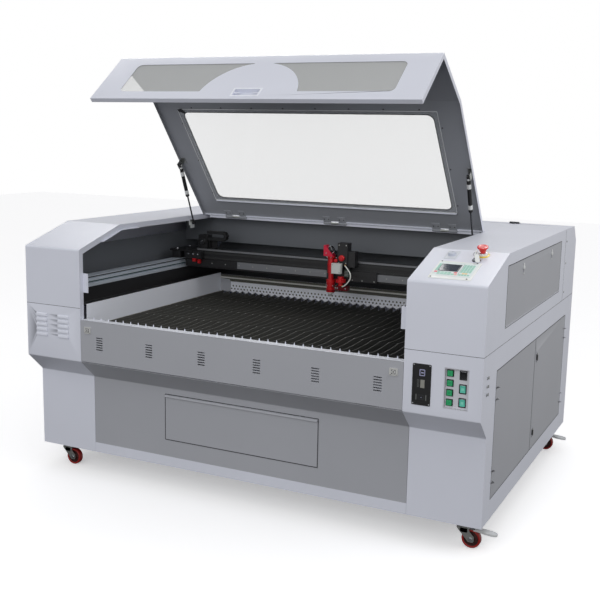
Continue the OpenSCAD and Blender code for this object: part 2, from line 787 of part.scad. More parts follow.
module stop_button() at_home() color(red) on_slope(stop_x, stop_s) {
    translate([0, 0, 12 + stop_travel + gap]) {
        cylinder(r = 11.5, h = 12);
        translate([0, 0, 12]) cylinder(r1 = 16, r2 = 20, h = 7);
        translate([0, 0, 19]) cylinder(r = 20, h = 5);
    }
    translate([0, 0, 7]) cylinder(r = stop_stem_r, h = 11);
}

module switch_key() at_home() color(steel) on_slope(key_x, key_s) translate([0, 0, 11 + gap]) {
    cylinder(r = 7, h = 4);
    translate([-1.2, -9, 3]) cube([2.4, 18, 22]);
    translate([-3, -9, 20]) cube([6, 18, 8]);
}

module port_plate() at_home() color(black) {
    x0 = port_plate_x - port_plate_w / 2;
    z0 = port_plate_z - port_plate_h / 2;
    difference() {
        translate([x0, 0, z0]) rotate([90, 0, 0]) soft_slab([port_plate_w, port_plate_h, 2.5], 4);
        block([port_plate_x - 3, -3, z0 + 116], [port_plate_x + 13, 1, z0 + 134]);
        block([port_plate_x - 10, -3, z0 + 66], [port_plate_x + 16, 1, z0 + 98]);
        block([port_plate_x - 14, -3, z0 + 20], [port_plate_x + 14, 1, z0 + 42]);
    }
    // sockets behind the three cut-outs
    block([port_plate_x - 14, 0, z0 + 110], [port_plate_x + 20, 14, z0 + 140]);
    block([port_plate_x - 16, 0, z0 + 60], [port_plate_x + 22, 14, z0 + 104]);
    block([port_plate_x - 18, 0, z0 + 15], [port_plate_x + 18, 14, z0 + 47]);
}

button_x = tray_x - 26;
button_zs = [for (i = [0:3]) tray_z + 56 - i * 36.6];
button_w = 22;
button_travel = 2;
rocker_x = tray_x + 22;
rocker_zs = [for (i = [0:2]) tray_z + 53 - i * 51.3];
rocker_w = 21;
rocker_h = 29;
bezel = 3;
stem_w = 14;
rocker_pin_y = tray_back + sheet + 3;
rocker_pin_r = 1.5;

module switch_tray() at_home() color(paint) {
    x0 = tray_x - tray_w / 2;
    z0 = tray_z - tray_h / 2;
    difference() {
        union() {
            difference() {
                block([x0 + gap, 0, z0 + gap], [x0 + tray_w - gap, tray_back + sheet, z0 + tray_h - gap]);
                block([x0 + sheet, -1, z0 + sheet], [x0 + tray_w - sheet, tray_back, z0 + tray_h - sheet]);
            }
            for (z = button_zs)
                block([button_x - 12, tray_back + sheet, z - 12], [button_x + 12, tray_back + 26, z + 12]);
            for (z = rocker_zs)
                block([rocker_x - rocker_w / 2 - bezel, tray_back - 2.5, z - rocker_h / 2 - bezel],
                      [rocker_x + rocker_w / 2 + bezel, tray_back, z + rocker_h / 2 + bezel]);
        }
        for (z = button_zs)
            block([button_x - stem_w / 2 - run, 0, z - stem_w / 2 - run],
                  [button_x + stem_w / 2 + run, tray_back + sheet + 5, z + stem_w / 2 + run]);
        for (z = rocker_zs)
            block([rocker_x - rocker_w / 2, 0, z - rocker_h / 2],
                  [rocker_x + rocker_w / 2, tray_back + sheet + 5, z + rocker_h / 2]);
    }
    for (z = rocker_zs) {
        block([rocker_x - 13, tray_back + sheet + 6, z - 16], [rocker_x + 13, tray_back + 30, z + 16]);
        both_ends_of_rocker(z);
    }
}

// Walls of the switch body that hold the rocker's pin
module both_ends_of_rocker(z) {
    for (x = [rocker_x - rocker_w / 2 - 2, rocker_x + rocker_w / 2])
        difference() {
            block([x, tray_back + sheet, z - 8], [x + 2, tray_back + sheet + 6, z + 8]);
            bar_x([x - 1, rocker_pin_y, z], rocker_pin_r + run, 4);
        }
}

module green_button(i) at_home() color([0.1, 0.62, 0.38]) {
    y1 = tray_back - button_travel - gap;
    block([button_x - button_w / 2, y1 - 6, button_zs[i] - button_w / 2],
          [button_x + button_w / 2, y1, button_zs[i] + button_w / 2]);
    block([button_x - stem_w / 2, y1, button_zs[i] - stem_w / 2],
          [button_x + stem_w / 2, tray_back + sheet, button_zs[i] + stem_w / 2]);
}

module green_button_1() { green_button(0); }
module green_button_2() { green_button(1); }
module green_button_3() { green_button(2); }
module green_button_4() { green_button(3); }

rocker_tilt = 6;
// A rocker stands tilted to its lower side and turns on a small pin
module rocker(i, tint) at_home() color(tint)
    translate([rocker_x, rocker_pin_y, rocker_zs[i]]) {
        rotate([rocker_tilt, 0, 0])
            across(-rocker_w / 2 + gap, rocker_w - 2 * gap)
                polygon([[-8, -rocker_h / 2 + 1.5], [-7, 0], [-8, rocker_h / 2 - 1.5],
                         [-5, rocker_h / 2 - 1.5], [1, 5], [1, -5], [-5, -rocker_h / 2 + 1.5]]);
        bar_x([-rocker_w / 2 - 1.8, 0, 0], rocker_pin_r, rocker_w + 3.6);
    }

module rocker_1() { rocker(0, black); }
module rocker_2() { rocker(1, [0.35, 0.75, 0.68]); }
module rocker_3() { rocker(2, [0.35, 0.75, 0.68]); }

// ---- Hardware that stays on the body ----

lid_hinges_x = [-lid_x + 187, 0, lid_x - 187];
lid_knuckle_l = 40;
strut_x = in_x - 16;
strut_low = [892, z_top - 36];
hook_zs = [for (h = [87, 119, 150]) z_seam - h];

module fasteners() at_home() color(steel) {
    // middle knuckles, pins and fixed leaves of the lid's hinges
    for (x = lid_hinges_x) {
        bar_x([x - 1.5 * lid_knuckle_l, hinge_y, z_hinge], pin_r, 3 * lid_knuckle_l);
        bar_x([x - lid_knuckle_l / 2, hinge_y, z_hinge], knuckle_r, lid_knuckle_l);
        block([x - lid_knuckle_l / 2, hinge_y, z_top - sheet - 3],
              [x + lid_knuckle_l / 2, hinge_y + 50, z_top - sheet]);
    }
    // brackets for the lower ends of the struts
    both_sides() {
        block([strut_x + 9, strut_low[0] - 18, z_top - edge_fold - 22],
              [in_x, strut_low[0] + 18, z_top - lid_fold - 1]);
        bar_x([strut_x + 5.5, strut_low[0], strut_low[1]], 4, 4);
    }
    // caster plates
    for (y = [caster_y1, caster_y2])
        both_sides()
            difference() {
                union() {
                    block([caster_x - 48, y - 35, z_low - 4], [caster_x + 48, y + 35, z_low]);
                    bar_z([caster_x, y, z_low - 9], 26, 5);
                }
                bar_z([caster_x, y, z_low - 10], 6 + run, 11);
            }
    // screws of the control panel and the port plate
    for (x = [-1, 1])
        for (s = [-1, 1]) {
            on_slope(ctrl_x + x * 67.5, ctrl_s + s * 70) translate([0, 0, 2.5]) cylinder(r = 2.6, h = 1.4);
            bar_y([port_plate_x + x * 31, -3.7, port_plate_z + s * 73], 2.6, 1.2);
        }
    // hooks on the right side near the front
    for (z = hook_zs) {
        bar_x([out_x, 60, z], 3, hook_proud);
        block([out_x + 4, 57, z], [out_x + hook_proud, 63, z + 9]);
    }
    // screws of the tube bay's end caps
    both_sides()
        for (z = [z_seam + 40, z_seam + 180, z_top - 60])
            bar_x([out_x, tube_bay_y + 26, z], 4.5, screw_proud);
}

// ---- Lid ----

z_port = z_fascia + port_up;
z_dome = z_fascia + 18;
z_pull = z_fascia + pull_up;

module window_cut(x0, y0, size, r, z) {
    translate([x0, y0, z]) soft_slab([size[0], size[1], 10 * sheet], r);
}

// Opening of one fascia window, standing in the fascia's plane
module port_cut(lap, y0, y1) {
    difference() {
        translate([-port_x - lap, y1, z_port - lap]) rotate([90, 0, 0])
            soft_slab([port_x + lap - 30, port_h + 2 * lap, y1 - y0], 24);
        bar_y([0, y0 - 1, z_dome], dome_r - lap, y1 - y0 + 2);
    }
}

module lid_shell() at_home() opened() color(paint) {
    difference() {
        union() {
            across(-lid_x, 2 * lid_x) polygon(band(lid_path, sheet));
            both_sides() across(lid_x - sheet, sheet) polygon(fold(lid_path, lid_fold));
            block([-lid_x, 0, z_fascia], [lid_x, lid_fold, z_fascia + sheet]);
            block([-lid_x, hinge_y - hinge_clear - sheet, z_top - 12],
                  [lid_x, hinge_y - hinge_clear, z_top]);
        }
        window_cut(-window_w / 2, window_y, [window_w, window_l], window_r, z_top - 4 * sheet);
        port_cut(0, -1, sheet + 1);
        mirror([1, 0, 0]) port_cut(0, -1, sheet + 1);
        block([-pull_w / 2, -1, z_pull], [pull_w / 2, sheet + 1, z_pull + pull_h]);
        // room for the hinge knuckles
        for (x = lid_hinges_x)
            block([x - 1.5 * lid_knuckle_l - 2, hinge_y - hinge_clear - 2 * sheet, z_top - 14],
                  [x + 1.5 * lid_knuckle_l + 2, hinge_y, z_top - sheet]);
    }
    // ledge behind the window
    block([-window_w / 2 - 18, window_y + window_l + pane_lap + 2, z_top - sheet - 12],
          [window_w / 2 + 18, window_y + window_l + pane_lap + 4, z_top - sheet]);
}

module lid_window() at_home() opened() color([0.9, 0.92, 0.93, 0.5])
    translate([-window_w / 2 - pane_lap, window_y - pane_lap, z_top - sheet - pane])
        soft_slab([window_w + 2 * pane_lap, window_l + 2 * pane_lap, pane], window_r);

module fascia_windows() at_home() opened() color([0.62, 0.64, 0.66, 0.6]) {
    port_cut(pane_lap, sheet, sheet + pane);
    mirror([1, 0, 0]) port_cut(pane_lap, sheet, sheet + pane);
}

module lid_pull() at_home() opened() color(paint) difference() {
    union() {
        block([-pull_w / 2 - 5, -1.5, z_pull - 4], [pull_w / 2 + 5, 0, z_pull + 4 + pull_h]);
        block([-pull_w / 2 + gap, -1, z_pull + gap],
              [pull_w / 2 - gap, 18, z_pull + pull_h - gap]);
    }
    block([-pull_w / 2 + 3, -3, z_pull + 3], [pull_w / 2 - 3, 16, z_pull - 3 + pull_h]);
}

// Where the struts meet the lid, in the closed lid
strut_top = [660, z_top - 40];

module lid_hardware() at_home() opened() color(steel) {
    for (x = lid_hinges_x)
        for (side = [-1, 1])
            translate([x + side * lid_knuckle_l - lid_knuckle_l / 2 + 0.5, 0, 0])
                difference() {
                    union() {
                        bar_x([0, hinge_y, z_hinge], knuckle_r, lid_knuckle_l - 1);
                        block([0, hinge_y - 40, z_top - sheet - 3],
                              [lid_knuckle_l - 1, hinge_y, z_top - sheet]);
                    }
                    bar_x([-1, hinge_y, z_hinge], pin_r + run, lid_knuckle_l + 1);
                }
    both_sides() {
        block([strut_x + 8, strut_top[0] - 16, strut_top[1] - 10],
              [strut_x + 10.5, strut_top[0] + 16, z_top - sheet]);
        block([strut_x - 12, strut_top[0] - 16, z_top - sheet - 2.5],
              [strut_x + 10.5, strut_top[0] + 16, z_top - sheet]);
        bar_x([strut_x - 8, strut_top[0], strut_top[1]], 4, 17);
    }
}

// The struts lie between their two ends in the open lid
strut_top_open = [
    hinge_y + (strut_top[0] - hinge_y) * cos(lid_open) + (strut_top[1] - z_hinge) * sin(lid_open),
    z_hinge - (strut_top[0] - hinge_y) * sin(lid_open) + (strut_top[1] - z_hinge) * cos(lid_open)];
strut_l = norm(strut_top_open - strut_low);
strut_a = atan2(strut_low[0] - strut_top_open[0], strut_top_open[1] - strut_low[1]);
strut_r = 9;
rod_r = 4;
barrel_l = 168;

// The frame of a strut: z runs down it from its upper pin
module on_strut(side) {
    translate([side * strut_x, strut_top_open[0], strut_top_open[1]]) rotate([180 + strut_a, 0, 0])
        children();
}

module strut_cylinder(side) at_home() on_strut(side) color(black) difference() {
    union() {
        translate([0, 0, 18]) cylinder(r = strut_r, h = barrel_l - 18);
        translate([0, 0, 6]) cylinder(r = 6, h = 13);
        rotate([0, 90, 0]) translate([0, 0, -6]) cylinder(r = 10, h = 12);
    }
    rotate([0, 90, 0]) translate([0, 0, -10]) cylinder(r = 4 + run, h = 20);
    translate([0, 0, 24]) cylinder(r = rod_r + run, h = barrel_l);
}

module strut_rod(side) at_home() on_strut(side) color(steel) {
    translate([0, 0, strut_l - 190]) cylinder(r = rod_r, h = 190 - 8);
    translate([-5, -9, strut_l - 9]) cube([10, 18, 18]);
}

module left_strut_cylinder() { strut_cylinder(-1); }
module right_strut_cylinder() { strut_cylinder(1); }
module left_strut_rod() { strut_rod(-1); }
module right_strut_rod() { strut_rod(1); }

// ---- Panels that open ----

flap_x = in_x - 1;
slot_w = 34;
slot_h = 4.5;
slot_pitch = 10.4;
slot_end = 100.5;
slot_group_x = [for (i = [-1:0.4:1.01]) i * (flap_x - slot_end)];
latch_x = flap_x - 38;
latch_z = z_flap - 42;
z_slots = z_flap - 69;

module front_flap() at_home() color(grey_paint) {
    difference() {
        union() {
            block([-flap_x, 0, z_chin + 4], [flap_x, sheet, z_flap - 1]);
            both_sides() block([flap_x - sheet, 0, z_chin + 6], [flap_x, 22, z_flap - 4]);
        }
        for (x = slot_group_x)
            for (i = [0:5])
                block([x - slot_w / 2, -1, z_slots - i * slot_pitch - slot_h],
                      [x + slot_w / 2, sheet + 1, z_slots - i * slot_pitch]);
    }
    // hinge pins and the two cam latches
    both_sides() {
        bar_x([flap_x - 12, flap_pin_y, flap_pin_z], flap_pin_r, 12 + sheet + 0.5);
        translate([latch_x, 0, latch_z]) {
            translate([-15, -3, -14]) cube([30, 3, 28]);
            bar_y([0, -latch_proud, 0], 8, latch_proud + 20);
        }
    }
}

module drawer() at_home() color(grey_paint) {
    y0 = leg_back - sheet - gap;
    z1 = z_low + drawer_low + drawer_h;
    block([-drawer_w / 2, y0, z_low + drawer_low], [drawer_w / 2, y0 + sheet, z1]);
    // rolled pull along the upper edge
    difference() {
        bar_x([-drawer_w / 2, y0 + sheet, z1 - 9], 10, drawer_w);
        bar_x([-drawer_w / 2 - 1, y0 + sheet, z1 - 9], 10 - sheet, drawer_w + 2);
        block([-drawer_w / 2 - 1, y0 + sheet, z1 - 30], [drawer_w / 2 + 1, y0 + 30, z1 + 30]);
        block([-drawer_w / 2 - 1, y0 - 30, z1 - 30], [drawer_w / 2 + 1, y0 + 1, z1 - 9]);
    }
    box_x = drawer_w / 2 - 10;
    difference() {
        block([-box_x, y0, z_drawer_box], [box_x, y0 + drawer_l, z1 - 40]);
        block([-box_x + sheet, y0 + sheet, z_drawer_box + sheet],
              [box_x - sheet, y0 + drawer_l - sheet, z1]);
    }
}

module side_hatch() at_home() color(grey_paint) {
    z0 = z_low + hatch_low;
    block([out_x - sheet, hatch_y + door_gap, z0 + door_gap],
          [out_x, hatch_y + hatch_l - door_gap, z0 + hatch_h - door_gap]);
    // rolled lower edge that stands in the tongues and turns there
    bar_y([out_x, hatch_y + door_gap, z0 + door_gap], sheet, hatch_l - 2 * door_gap);
    for (y = [hatch_y + hatch_l / 4, hatch_y + hatch_l * 25 / 32]) {
        bar_x([out_x, y, z0 + hatch_h - 36], 9, 4);
        block([out_x, y - 5, z0 + hatch_h - 58], [out_x + 3, y + 5, z0 + hatch_h - 36]);
    }
}

// One door leaf from y0 to y1 with knuckles at the pin's place
module door_leaf(y0, y1, pin_y) {
    z0 = z_low + door_low;
    block([out_x - sheet, y0, z0 + door_gap], [out_x, y1, z0 + door_h - door_gap]);
    for (z = door_hinge_z)
        difference() {
            union() {
                bar_z([door_pin_x, pin_y, z - 2], 5, knuckle_l + 4);
                block([door_pin_x, pin_y - 4, z - 2], [out_x - sheet, pin_y + 4, z + knuckle_l + 2]);
            }
            bar_z([door_pin_x, pin_y, z - 3], door_pin_r + run, knuckle_l + 6);
        }
}

module front_door() at_home() color(grey_paint)
    door_leaf(door_y + door_gap, door_split - door_gap / 2, door_pins_y[0]);

module rear_door() at_home() color(grey_paint) {
    door_leaf(door_split + door_gap / 2, door_y + door_l - door_gap, door_pins_y[1]);
    for (z = [z_low + 505, z_low + 162]) {
        translate([out_x, door_split + 36, z]) rotate([90, 0, 90]) translate([-9, -26, 0])
            soft_slab([18, 52, 3], 8.9);
        bar_x([out_x - sheet - 8, door_split + 36, z], 8, 8);
    }
}

cover_path = [[cover_hinge_y + cover_knuckle_r + 2, z_top], [top_rear_y, z_top],
              [machine_d, z_rear], [machine_d, z_seam + gap]];

module tube_cover() at_home() color(paint) {
    across(-cover_x + 1, 2 * cover_x - 2) polygon(band(cover_path, sheet));
    for (x = [-cover_hinge_x, cover_hinge_x])
        for (side = [-1, 1])
            translate([x + side * 16 - 8 + 0.4, 0, 0]) difference() {
                union() {
                    bar_x([0, cover_hinge_y, z_cover_pin], cover_knuckle_r, 15.2);
                    block([0, cover_hinge_y, z_top], [15.2, cover_hinge_y + 26, z_top + 3]);
                }
                bar_x([-1, cover_hinge_y, z_cover_pin], cover_pin_r + run, 18);
            }
}

// ---- Gantry and head ----

beam_t = 4;
module gantry_beam() at_home() color(black) {
    beam_x = rail_x - rail_w / 2 - 8;
    difference() {
        block([-beam_x, beam_y, z_beam], [beam_x, beam_y + beam_d, z_beam_top]);
        block([-beam_x - 1, beam_y + beam_t, z_beam + beam_t],
              [beam_x + 1, beam_y + beam_d - beam_t, z_beam_top - beam_t]);
    }
    both_sides() {
        block([beam_x - plate_in, beam_y - 50, z_plate],
              [rail_x + rail_w / 2 + 8, beam_y + beam_d + 50, z_plate + plate_t]);
        block([rail_x - rail_w / 2, beam_y - 40, z_rail_top + gap],
              [rail_x + rail_w / 2, beam_y + beam_d + 40, z_plate]);
    }
    // second mirror at the left end
    block([-beam_x + 61, beam_y + 26, z_plate + plate_t], [-beam_x + 115, beam_y + 74, z_plate + 82]);
    bar_y([-beam_x + 88, beam_y + 18, z_plate + 50], 17, 8);
}

module gantry_rail() at_home() color(steel) {
    guide_x = rail_x - rail_w / 2 - 30;
    block([-guide_x, guide_y, z_guide], [guide_x, beam_y, z_guide + guide_h]);
    strip_x = rail_x - rail_w / 2 - 8 - plate_in - gap;
    block([-strip_x, beam_y - 2, z_beam_top], [strip_x, beam_y + 12, z_beam_top + 2]);
    block([-strip_x, beam_y - 2, z_beam_top - 6], [strip_x, beam_y, z_beam_top]);
}

chain_x = -in_x + 60;
chain_l = 85;
module drag_chain() at_home() color(black) {
    z0 = z_plate + 55;
    back = beam_y + 30;
    difference() {
        union() {
            block([chain_x, back, z0], [chain_x + chain_l, back + 28, z0 + 50]);
            translate([chain_x + chain_l, back + 28, z0 + 25]) rotate([90, 0, 0]) cylinder(r = 25, h = 28);
        }
        block([chain_x - 1, back - 1, z0 + 16], [chain_x + chain_l, back + 29, z0 + 34]);
        translate([chain_x + chain_l, back + 29, z0 + 25]) rotate([90, 0, 0]) cylinder(r = 9, h = 30);
    }
    block([chain_x + 4, back, z_beam_top], [chain_x + 40, back + 28, z0]);
}

// Carriage, head and tube are placed from the tube's axis and from the nozzle's tip
shaft_r = 13;
block_y = guide_y - gap - 46;
focus_up = 26;

module from_nozzle() {
    translate([head_x, 0, z_nozzle]) children();
}

module head_carriage() at_home() color(black) {
    y1 = guide_y - gap;
    z_slider = z_guide - 8;
    slider_h = guide_h + 16;
    block([head_x - 36, y1 - 10, z_slider], [head_x + 224, y1, z_slider + slider_h]);
    // lips that hook over and under the guide
    block([head_x, y1, z_guide + guide_h + gap], [head_x + 130, y1 + 8, z_slider + slider_h]);
    block([head_x, y1, z_slider], [head_x + 130, y1 + 8, z_guide - gap]);
    from_nozzle() {
        block([-16, y1 - 10, 115], [87, y1, 200]);
        block([35, block_y, 150], [87, y1, 260]);
        bar_y([78, block_y - 8, 156], 4, 8);
        block([87, block_y + 6, 146], [123, y1, 222]);
        block([66, block_y + 12, 98], [90, y1 - 10, 132]);
        // sensor box on its arm
        block([9, block_y - 34, 116], [57, block_y - 12, 166]);
        block([40, block_y - 12, 136], [50, y1 - 10, 148]);
    }
}

module laser_head() at_home() color(red) {
    y1 = guide_y - gap - 10;
    from_nozzle() {
        // clamp sleeve of the focus tube and its bridge to the carriage
        difference() {
            union() {
                bar_z([0, head_y, 112], shaft_r + 4, 80);
                bar_z([0, head_y, 186], shaft_r + 8, 8);
                bar_z([0, head_y, 150], shaft_r + 6, 7);
                block([-14, head_y + 6, 124], [14, y1, 178]);
            }
            bar_z([0, head_y, 111], shaft_r + run, 74);
        }
        // mirror block with its sloping face, and the round mirror mount on it
        translate([0, head_y + 18, 194]) rotate([90, 0, 0]) linear_extrude(36)
            polygon([[-34, 0], [14, 0], [-25, 52], [-34, 52]]);
        translate([-5, head_y, 220]) rotate([0, 53, 0]) cylinder(r = 16, h = 15);
        bar_y([59, block_y - 12, 189], 12, 12);
        // second stack beside the tube
        bar_z([52, head_y, 70], 25, 18);
        bar_z([52, head_y, 88], 15, 12);
        block([36, head_y - 20, 34], [94, head_y + 14, 56]);
        bar_z([52, head_y, 56], 12, 14);
        block([44, head_y + 10, 72], [60, y1, 86]);
        bar_y([71, head_y - 26, 55], 4, 6);
    }
}

module focus_tube() at_home() color(red) from_nozzle() {
    translate([0, head_y, 0]) {
        cylinder(r1 = 5, r2 = 13, h = 14);
        translate([0, 0, 14]) cylinder(r = 17, h = 7);
        translate([0, 0, 21]) cylinder(r = tube_r, h = 18);
        translate([0, 0, 39]) cylinder(r = tube_r - 2, h = 22);
        translate([0, 0, 61]) cylinder(r = tube_r, h = 21);
        translate([0, 0, 82]) cylinder(r = shaft_r, h = 76);
    }
}

hose_r = 3.2;
// Route of the air hose, held at the carriage and at the second stack
hose_points = [
    [80, block_y - 10.7, 155], [86, block_y - 14, 151], [94, block_y - 17, 144],
    [102, block_y - 19, 135], [109, block_y - 20, 126], [113, block_y - 21, 117],
    [114, block_y - 22, 106], [113, block_y - 23, 96], [108, block_y - 24, 86],
    [101, block_y - 24.5, 76], [93, block_y - 25, 68], [84, block_y - 24.5, 61],
    [77, block_y - 23.5, 57], [72.5, block_y - 20.6, 55]
];
hose_n = 10;
function hose_dir(i) =
    along(hose_points[max(i - 1, 0)], hose_points[min(i + 1, len(hose_points) - 1)]);
function ring_at(i) =
    let (d = hose_dir(i), u = cross(d, [0, 1, 0]) / norm(cross(d, [0, 1, 0])), v = cross(d, u))
    [for (k = [0:hose_n - 1])
        hose_points[i] + hose_r * (cos(360 * k / hose_n) * u + sin(360 * k / hose_n) * v)];

module air_hose() at_home() color([0.92, 0.92, 0.9]) from_nozzle() {
    rings = len(hose_points);
    polyhedron(
        points = [for (i = [0:rings - 1]) each ring_at(i)],
        faces = concat(
            [[for (k = [0:hose_n - 1]) k]],
            [for (i = [0:rings - 2]) for (k = [0:hose_n - 1])
                let (a = i * hose_n, b = a + hose_n, next = (k + 1) % hose_n)
                [a + k, b + k, b + next, a + next]],
            [[for (k = [hose_n - 1:-1:0]) (rings - 1) * hose_n + k]]));
}

// ---- Casters ----

fork_in = wheel_w / 2 + 1.5;
fork_t = 3;
axle_r = 5;
crown_z = 2 * wheel_r + 6;
module caster_fork(side, y) at_home() translate([side * caster_x, y, 0]) color([0.55, 0.56, 0.58]) {
    for (s = [-1, 1])
        mirror([0, s < 0 ? 1 : 0, 0]) translate([0, fork_in + fork_t, 0]) rotate([90, 0, 0])
            linear_extrude(fork_t)
                polygon([[-24, crown_z], [trail - 12, wheel_r - 8], [trail + 12, wheel_r - 8],
                         [trail + 14, wheel_r + 12], [26, crown_z]]);
    translate([-24, -fork_in - fork_t, crown_z]) cube([50, 2 * (fork_in + fork_t), 4]);
    bar_z([0, 0, crown_z + 4], 24, z_low - 9 - gap - crown_z - 4);
    bar_z([0, 0, crown_z + 4], 6, z_low - 5 - crown_z - 4);
    bar_y([trail, -fork_in - fork_t - 3, wheel_r], axle_r, 2 * (fork_in + fork_t + 3));
    // brake pedal over the trailing side, on the right-hand casters
    if (side > 0)
        translate([pedal_root, 0, 2 * wheel_r + 1.2]) rotate([0, pedal_drop, 0])
            linear_extrude(pedal_t)
                polygon([[0, -pedal_w / 2], [pedal_l - 0.4 * pedal_w, -pedal_w / 2],
                         [pedal_l, -pedal_w / 5], [pedal_l, pedal_w / 5],
                         [pedal_l - 0.4 * pedal_w, pedal_w / 2], [0, pedal_w / 2]]);
    translate([14, -15, 2 * wheel_r + 1.2]) cube([trail, 30, crown_z - 2 * wheel_r]);
}

module caster_wheel(side, y) at_home() translate([side * caster_x + trail, y, wheel_r])
    rotate([90, 0, 0]) color(red) difference() {
        union() {
            translate([0, 0, -wheel_w / 2 + 2]) cylinder(r = wheel_r, h = wheel_w - 4);
            translate([0, 0, -wheel_w / 2]) cylinder(r = wheel_r - 3, h = wheel_w);
            translate([0, 0, -wheel_w / 2 - 1]) cylinder(r = 11, h = wheel_w + 2);
        }
        for (z = [-wheel_w / 2 - 1, wheel_w / 2 - 5])
            translate([0, 0, z]) difference() {
                cylinder(r = wheel_r - 9, h = 6);
                translate([0, 0, -1]) cylinder(r = 13, h = 8);
            }
        translate([0, 0, -wheel_w]) cylinder(r = axle_r + run, h = 2 * wheel_w);
    }

module caster_fork_fl() { caster_fork(-1, caster_y1); }
module caster_fork_fr() { caster_fork(1, caster_y1); }
module caster_fork_rl() { caster_fork(-1, caster_y2); }
module caster_fork_rr() { caster_fork(1, caster_y2); }
module caster_wheel_fl() { caster_wheel(-1, caster_y1); }
module caster_wheel_fr() { caster_wheel(1, caster_y1); }
module caster_wheel_rl() { caster_wheel(-1, caster_y2); }
module caster_wheel_rr() { caster_wheel(1, caster_y2); }

base_frame();
left_upper_housing();
right_upper_housing();
left_lower_housing();
right_lower_housing();
front_lower_panel();
rear_casing();
rear_top_panel();
bed_deck();
bed_well();
rear_slat_rail();
knife_slats();
inner_walls();
y_rails();
laser_tube();
tube_supports();
power_supply();
control_panel();
port_plate();
switch_tray();
fasteners();
lid_shell();
lid_window();
fascia_windows();
lid_pull();
lid_hardware();
left_strut_cylinder();
right_strut_cylinder();
left_strut_rod();
right_strut_rod();
front_flap();
drawer();
side_hatch();
front_door();
rear_door();
tube_cover();
gantry_beam();
gantry_rail();
drag_chain();
head_carriage();
laser_head();
focus_tube();
air_hose();
stop_button();
switch_key();
green_button_1();
green_button_2();
green_button_3();
green_button_4();
rocker_1();
rocker_2();
rocker_3();
caster_fork_fl();
caster_fork_fr();
caster_fork_rl();
caster_fork_rr();
caster_wheel_fl();
caster_wheel_fr();
caster_wheel_rl();
caster_wheel_rr();
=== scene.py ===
# %% [markdown]
# # A laser engraving machine, piece by piece
# The machine is a folded sheet-metal cabinet on casters, with a gantry that
# carries a cutting head over a bed of knife-edged slats. The solid model is
# already placed in one shared frame. This lesson dresses it: it keeps every
# size, and adds the small pieces, softened edges and finishes that make sheet
# metal, glass and plastic look like themselves.

import json
from math import cos, degrees, pi, radians, sin

import bmesh
import bpy
from mathutils import Matrix, Vector

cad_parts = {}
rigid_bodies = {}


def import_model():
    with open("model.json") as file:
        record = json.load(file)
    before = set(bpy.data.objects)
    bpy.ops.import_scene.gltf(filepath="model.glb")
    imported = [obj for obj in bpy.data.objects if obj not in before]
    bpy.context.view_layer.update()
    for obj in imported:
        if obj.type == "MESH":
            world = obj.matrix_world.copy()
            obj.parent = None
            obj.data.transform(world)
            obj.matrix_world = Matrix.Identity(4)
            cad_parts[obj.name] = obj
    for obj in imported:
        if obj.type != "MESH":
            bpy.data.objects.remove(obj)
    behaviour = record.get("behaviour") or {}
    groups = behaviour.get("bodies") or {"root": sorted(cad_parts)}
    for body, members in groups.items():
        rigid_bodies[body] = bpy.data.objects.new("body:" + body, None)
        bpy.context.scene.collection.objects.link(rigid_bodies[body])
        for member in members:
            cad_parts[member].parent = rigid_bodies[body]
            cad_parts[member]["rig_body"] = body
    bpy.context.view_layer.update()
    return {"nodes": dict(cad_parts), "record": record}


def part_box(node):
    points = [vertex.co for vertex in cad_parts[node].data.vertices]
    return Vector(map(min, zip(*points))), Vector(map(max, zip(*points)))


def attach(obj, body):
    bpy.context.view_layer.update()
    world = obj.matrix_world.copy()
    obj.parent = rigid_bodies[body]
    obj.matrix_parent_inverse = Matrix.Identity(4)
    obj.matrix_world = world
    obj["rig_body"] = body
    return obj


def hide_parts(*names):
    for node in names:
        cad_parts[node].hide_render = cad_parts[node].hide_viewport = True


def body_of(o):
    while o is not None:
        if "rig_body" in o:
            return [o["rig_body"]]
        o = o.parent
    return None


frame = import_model()
scene = bpy.context.scene

# %% [markdown]
# ## Millimetres of the machine
# A fitter measures this machine from its front face, its middle and the floor.
# Shapes below are drawn in those millimetres and moved home once, by a single
# matrix, so that a number here is a number on the drawing. The middle comes
# from the slats, which fill the bed evenly, and the front from a housing.

# %% From the drawing to the frame
slats_low, slats_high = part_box("knife_slats")
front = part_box("left_upper_housing")[0].y
HOME = Matrix.Translation(((slats_low.x + slats_high.x) / 2, front, 0)) @ Matrix.Scale(0.001, 4)

DRAWING = HOME.inverted()
SIDE_X, Z_SEAM, Z_FACE, Z_TOP = 1050, 788, 1045, 1133
SLOPE, LID_OPEN = radians(16.88), radians(51.3)
HINGE_Y, HINGE_Z = 1024, 1125


def on_drawing(node):
    """A solid's lowest and highest corner in the drawing's millimetres."""
    return [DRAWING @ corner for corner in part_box(node)]


def shift(x, y, z):
    return Matrix.Translation((x, y, z))


def turn(angle, axis):
    return Matrix.Rotation(radians(angle), 4, axis)


def on_slope(x, s):
    """The sloping control face: y runs up it and z stands out of it."""
    return shift(0, 0, Z_FACE) @ Matrix.Rotation(SLOPE, 4, "X") @ shift(x, s, 0)


def on_front(x, z, y=0):
    """The front face, or one parallel to it: y runs up it and z stands out of it."""
    return shift(x, y, z) @ turn(90, "X")


def on_side(y, z, x=SIDE_X):
    """The right side: y runs up it and z stands out of it."""
    return shift(x, y, z) @ turn(90, "Z") @ turn(90, "X")


LID = shift(0, HINGE_Y, HINGE_Z) @ Matrix.Rotation(-LID_OPEN, 4, "X") @ shift(0, -HINGE_Y, -HINGE_Z)
print("slope", round(degrees(SLOPE), 2), "and lid", round(degrees(LID_OPEN), 1), "degrees")

